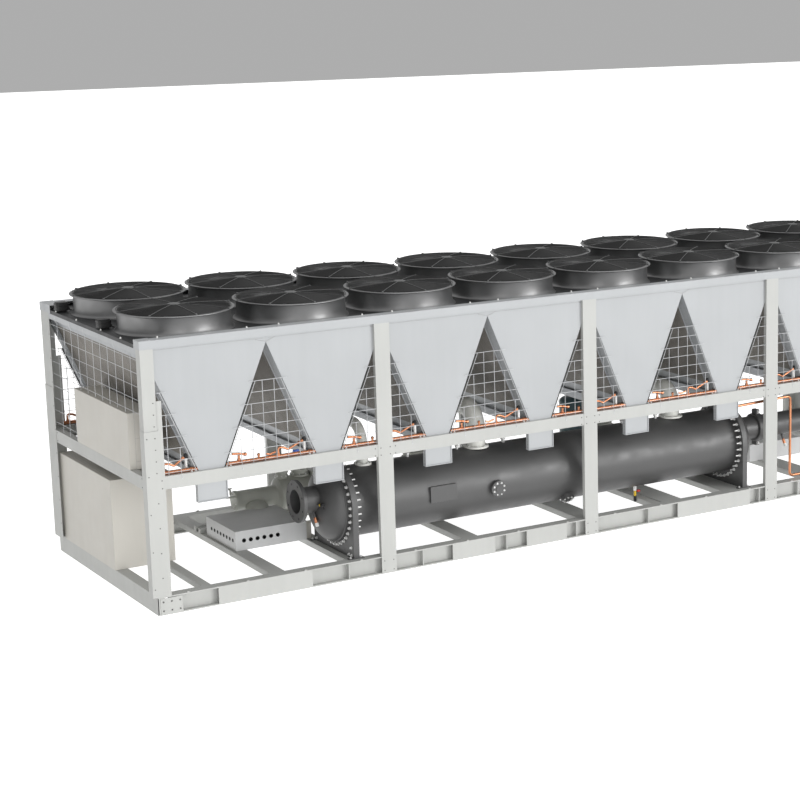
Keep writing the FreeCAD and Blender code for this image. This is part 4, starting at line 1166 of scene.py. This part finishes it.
for side in SIDES:
    y = from_side(side, HEADER_Y)
    copper.rod(at(0.084, y, HEADER_Z), at(LENGTH - 0.084, y, HEADER_Z), HEADER_R, 18)
    for n in range(VEES + 1):
        for x in (n - 0.345, n + 0.345):
            if 0.1 < x < LENGTH - 0.1:
                sleeve(at(x - 0.012, y, HEADER_Z), ALONG, HEADER_R, 0.0195, 0.024, sides=18)
        if 0 < n < VEES:
            x = n - 0.262
            copper.rod(at(x, y, HEADER_Z), at(x, y, 1.178), 0.0105, 12)
            sleeve(at(x, y, 1.136), UP, 0.0105, 0.0145, 0.018)
            copper.tube([at(x - 0.055, y, 1.196), at(x, y, 1.192), at(x + 0.062, y, 1.178)], BRANCH_R, 12)
            sleeve(at(x + 0.04, y - 0.001, 1.181), ALONG, 0.01, 0.014, 0.025, slant=0.003)
            stub = [(0, 0.009), (0.03, 0.009), (0.034, 0.013), (0.042, 0.013), (0.05, 0.006), (0.052, 0)]
            copper.turned(at(n - 0.095, y, HEADER_Z), UP, stub, 12)
            bend = [at(n - 0.03, y, 1.158), at(n, y, 1.15), at(n + 0.05, y, 1.165)]
            copper.tube(rounded(bend, 0.02, 4), 0.0075, 10)
        if n < VEES:
            x = n + (0.073 if n else 0.12)
            low, tip = at(x + 0.085, y, 1.17), at(n + 0.285, y, 1.227)
            riser = [at(x, y, HEADER_Z), at(x, y, 1.196), at(x + 0.045, y, 1.19), low, tip]
            copper.tube(rounded(riser, 0.014, 4), BRANCH_R, 12)
            sleeve(at(x, y, 1.134), UP, BRANCH_R, 0.0135, 0.018)
            slant = (tip - low).normalized()
            plug = [(0, BRANCH_R), (0.003, 0.013), (0.022, 0.013), (0.024, 0)]
            copper.turned(tip - slant * 0.022, slant, plug, 12)
copper.done(replaces=["copper_headers"])

# Sensor heads and bolts where the coil blocks stand on the rails, and one blue valve core
sensors = Piece("branch_valves", "zinc_sheet", "bolt")
dark_caps = Piece("branch_valve_caps", "zinc_sheet", "dark")
for side in SIDES:
    y = from_side(side, HEADER_Y + 0.028)
    for n in range(VEES):
        x = n + 0.312
        dark_caps.turned(at(x, y, 1.212), UP, [(0, 0.016), (0.02, 0.017), (0.034, 0.012), (0.038, 0)], 14)
        stem = [(0, 0.02), (0.012, 0.02), (0.014, 0.012), (0.105, 0.012), (0.105, 0)]
        sensors.turned(at(x, y, MID_TOP), UP, stem, 14)
        for dx in (0.34, 0.372, 0.628, 0.66):
            sensors.bolt(by_side(side, n + dx, 0.03, MID_TOP), UP, 0.0085, 0.012)
sensors.done()
dark_caps.done()
core = Piece("valve_core", "zinc_sheet", "blue")
core_place = by_side(FRONT, 1.215, HEADER_Y + 0.03, MID_TOP + 0.026)
core.turned(core_place, ALONG, [(0, 0), (0, 0.017), (0.045, 0.017), (0.045, 0)], 16)
core.done(bevel=0.001)

# Copper pipe of the right bay: along the shell's top, down beside the rail and away along the base
drop = Piece("right_copper_pipe", "copper")
path = [at(5.62, 0.11, 0.93), at(6.3, 0.1, 0.954), at(6.3, 0.1, 0.18), at(7.55, 0.1, 0.18)]
drop.tube(rounded(path, 0.035, 7), 0.0125, 14)
drop.done()

# Camera where the photograph was taken from, with its shift
camera_data = bpy.data.cameras.new("camera")
camera_data.sensor_width = 36.0
camera_data.lens = 94.15
camera_data.shift_x = -0.3811
camera_data.clip_end = 200.0
camera = bpy.data.objects.new("camera", camera_data)
scene = bpy.context.scene
scene.collection.objects.link(camera)
view_right = Vector((0.81257, -0.58287, 0.0))
view_up = Vector((0.12311, 0.17163, 0.97744))
view_back = Vector((-0.56972, -0.79423, 0.21122))
turn = Matrix((view_right, view_up, view_back)).transposed().to_4x4()
camera.matrix_world = Matrix.Translation(at(-5.6243, -15.1383, 5.0915)) @ turn
scene.camera = camera

# Pale floor, which glows a little so that it stays white, and soft studio light
REACH = 60.0
floor_look = coated("floor_white", (0.5, 0.5, 0.5), 0.8, vary=0.004, bump=0.0, streaks=0.0)
floor_shader = floor_look.node_tree.nodes["Principled BSDF"]
floor_shader.inputs["Emission Color"].default_value = grey(1.0)
floor_shader.inputs["Emission Strength"].default_value = 0.95
floor_mesh = bpy.data.meshes.new("floor")
floor_corners = [(-REACH, -REACH, 0), (REACH, -REACH, 0), (REACH, REACH, 0), (-REACH, REACH, 0)]
floor_mesh.from_pydata(floor_corners, [], [(0, 1, 2, 3)])
floor_mesh.materials.append(floor_look)
floor = bpy.data.objects.new("floor", floor_mesh)
scene.collection.objects.link(floor)

# White surroundings that are brighter to the right and overhead
world = bpy.data.worlds.new("studio")
scene.world = world
world.use_nodes = True
backdrop = world.node_tree.nodes["Background"]
backdrop.inputs["Color"].default_value = grey(1.0)
links = world.node_tree.links
direction = node_of(world.node_tree, "TexCoord")
parts = node_of(world.node_tree, "SeparateXYZ")
links.new(direction.outputs["Generated"], parts.inputs["Vector"])
fade = node_of(world.node_tree, "MapRange", From_Min=-1.0, From_Max=0.2, To_Min=0.05, To_Max=0.42)
sky = node_of(world.node_tree, "MapRange", To_Max=0.7)
total = node_of(world.node_tree, "Math")
links.new(parts.outputs["X"], fade.inputs["Value"])
links.new(parts.outputs["Z"], sky.inputs["Value"])
links.new(fade.outputs["Result"], total.inputs[0])
links.new(sky.outputs["Result"], total.inputs[1])
links.new(total.outputs["Value"], backdrop.inputs["Strength"])


def soft_light(name, place, target, size, power):
    """A square soft light that faces a point."""
    data = bpy.data.lights.new(name, "AREA")
    data.energy = power
    data.size = size
    lamp = bpy.data.objects.new(name, data)
    scene.collection.objects.link(lamp)
    lamp.location = place
    lamp.rotation_euler = (target - place).to_track_quat("-Z", "Y").to_euler()


soft_light("key", Vector((26.0, -38.0, 7.0)), Vector((0, 0, 1.2)), 20.0, 12000.0)
soft_light("fill", Vector((-7.0, -12.0, 4.0)), Vector((-3.0, 0, 1.2)), 6.0, 300.0)
scene.view_settings.view_transform = "Standard"
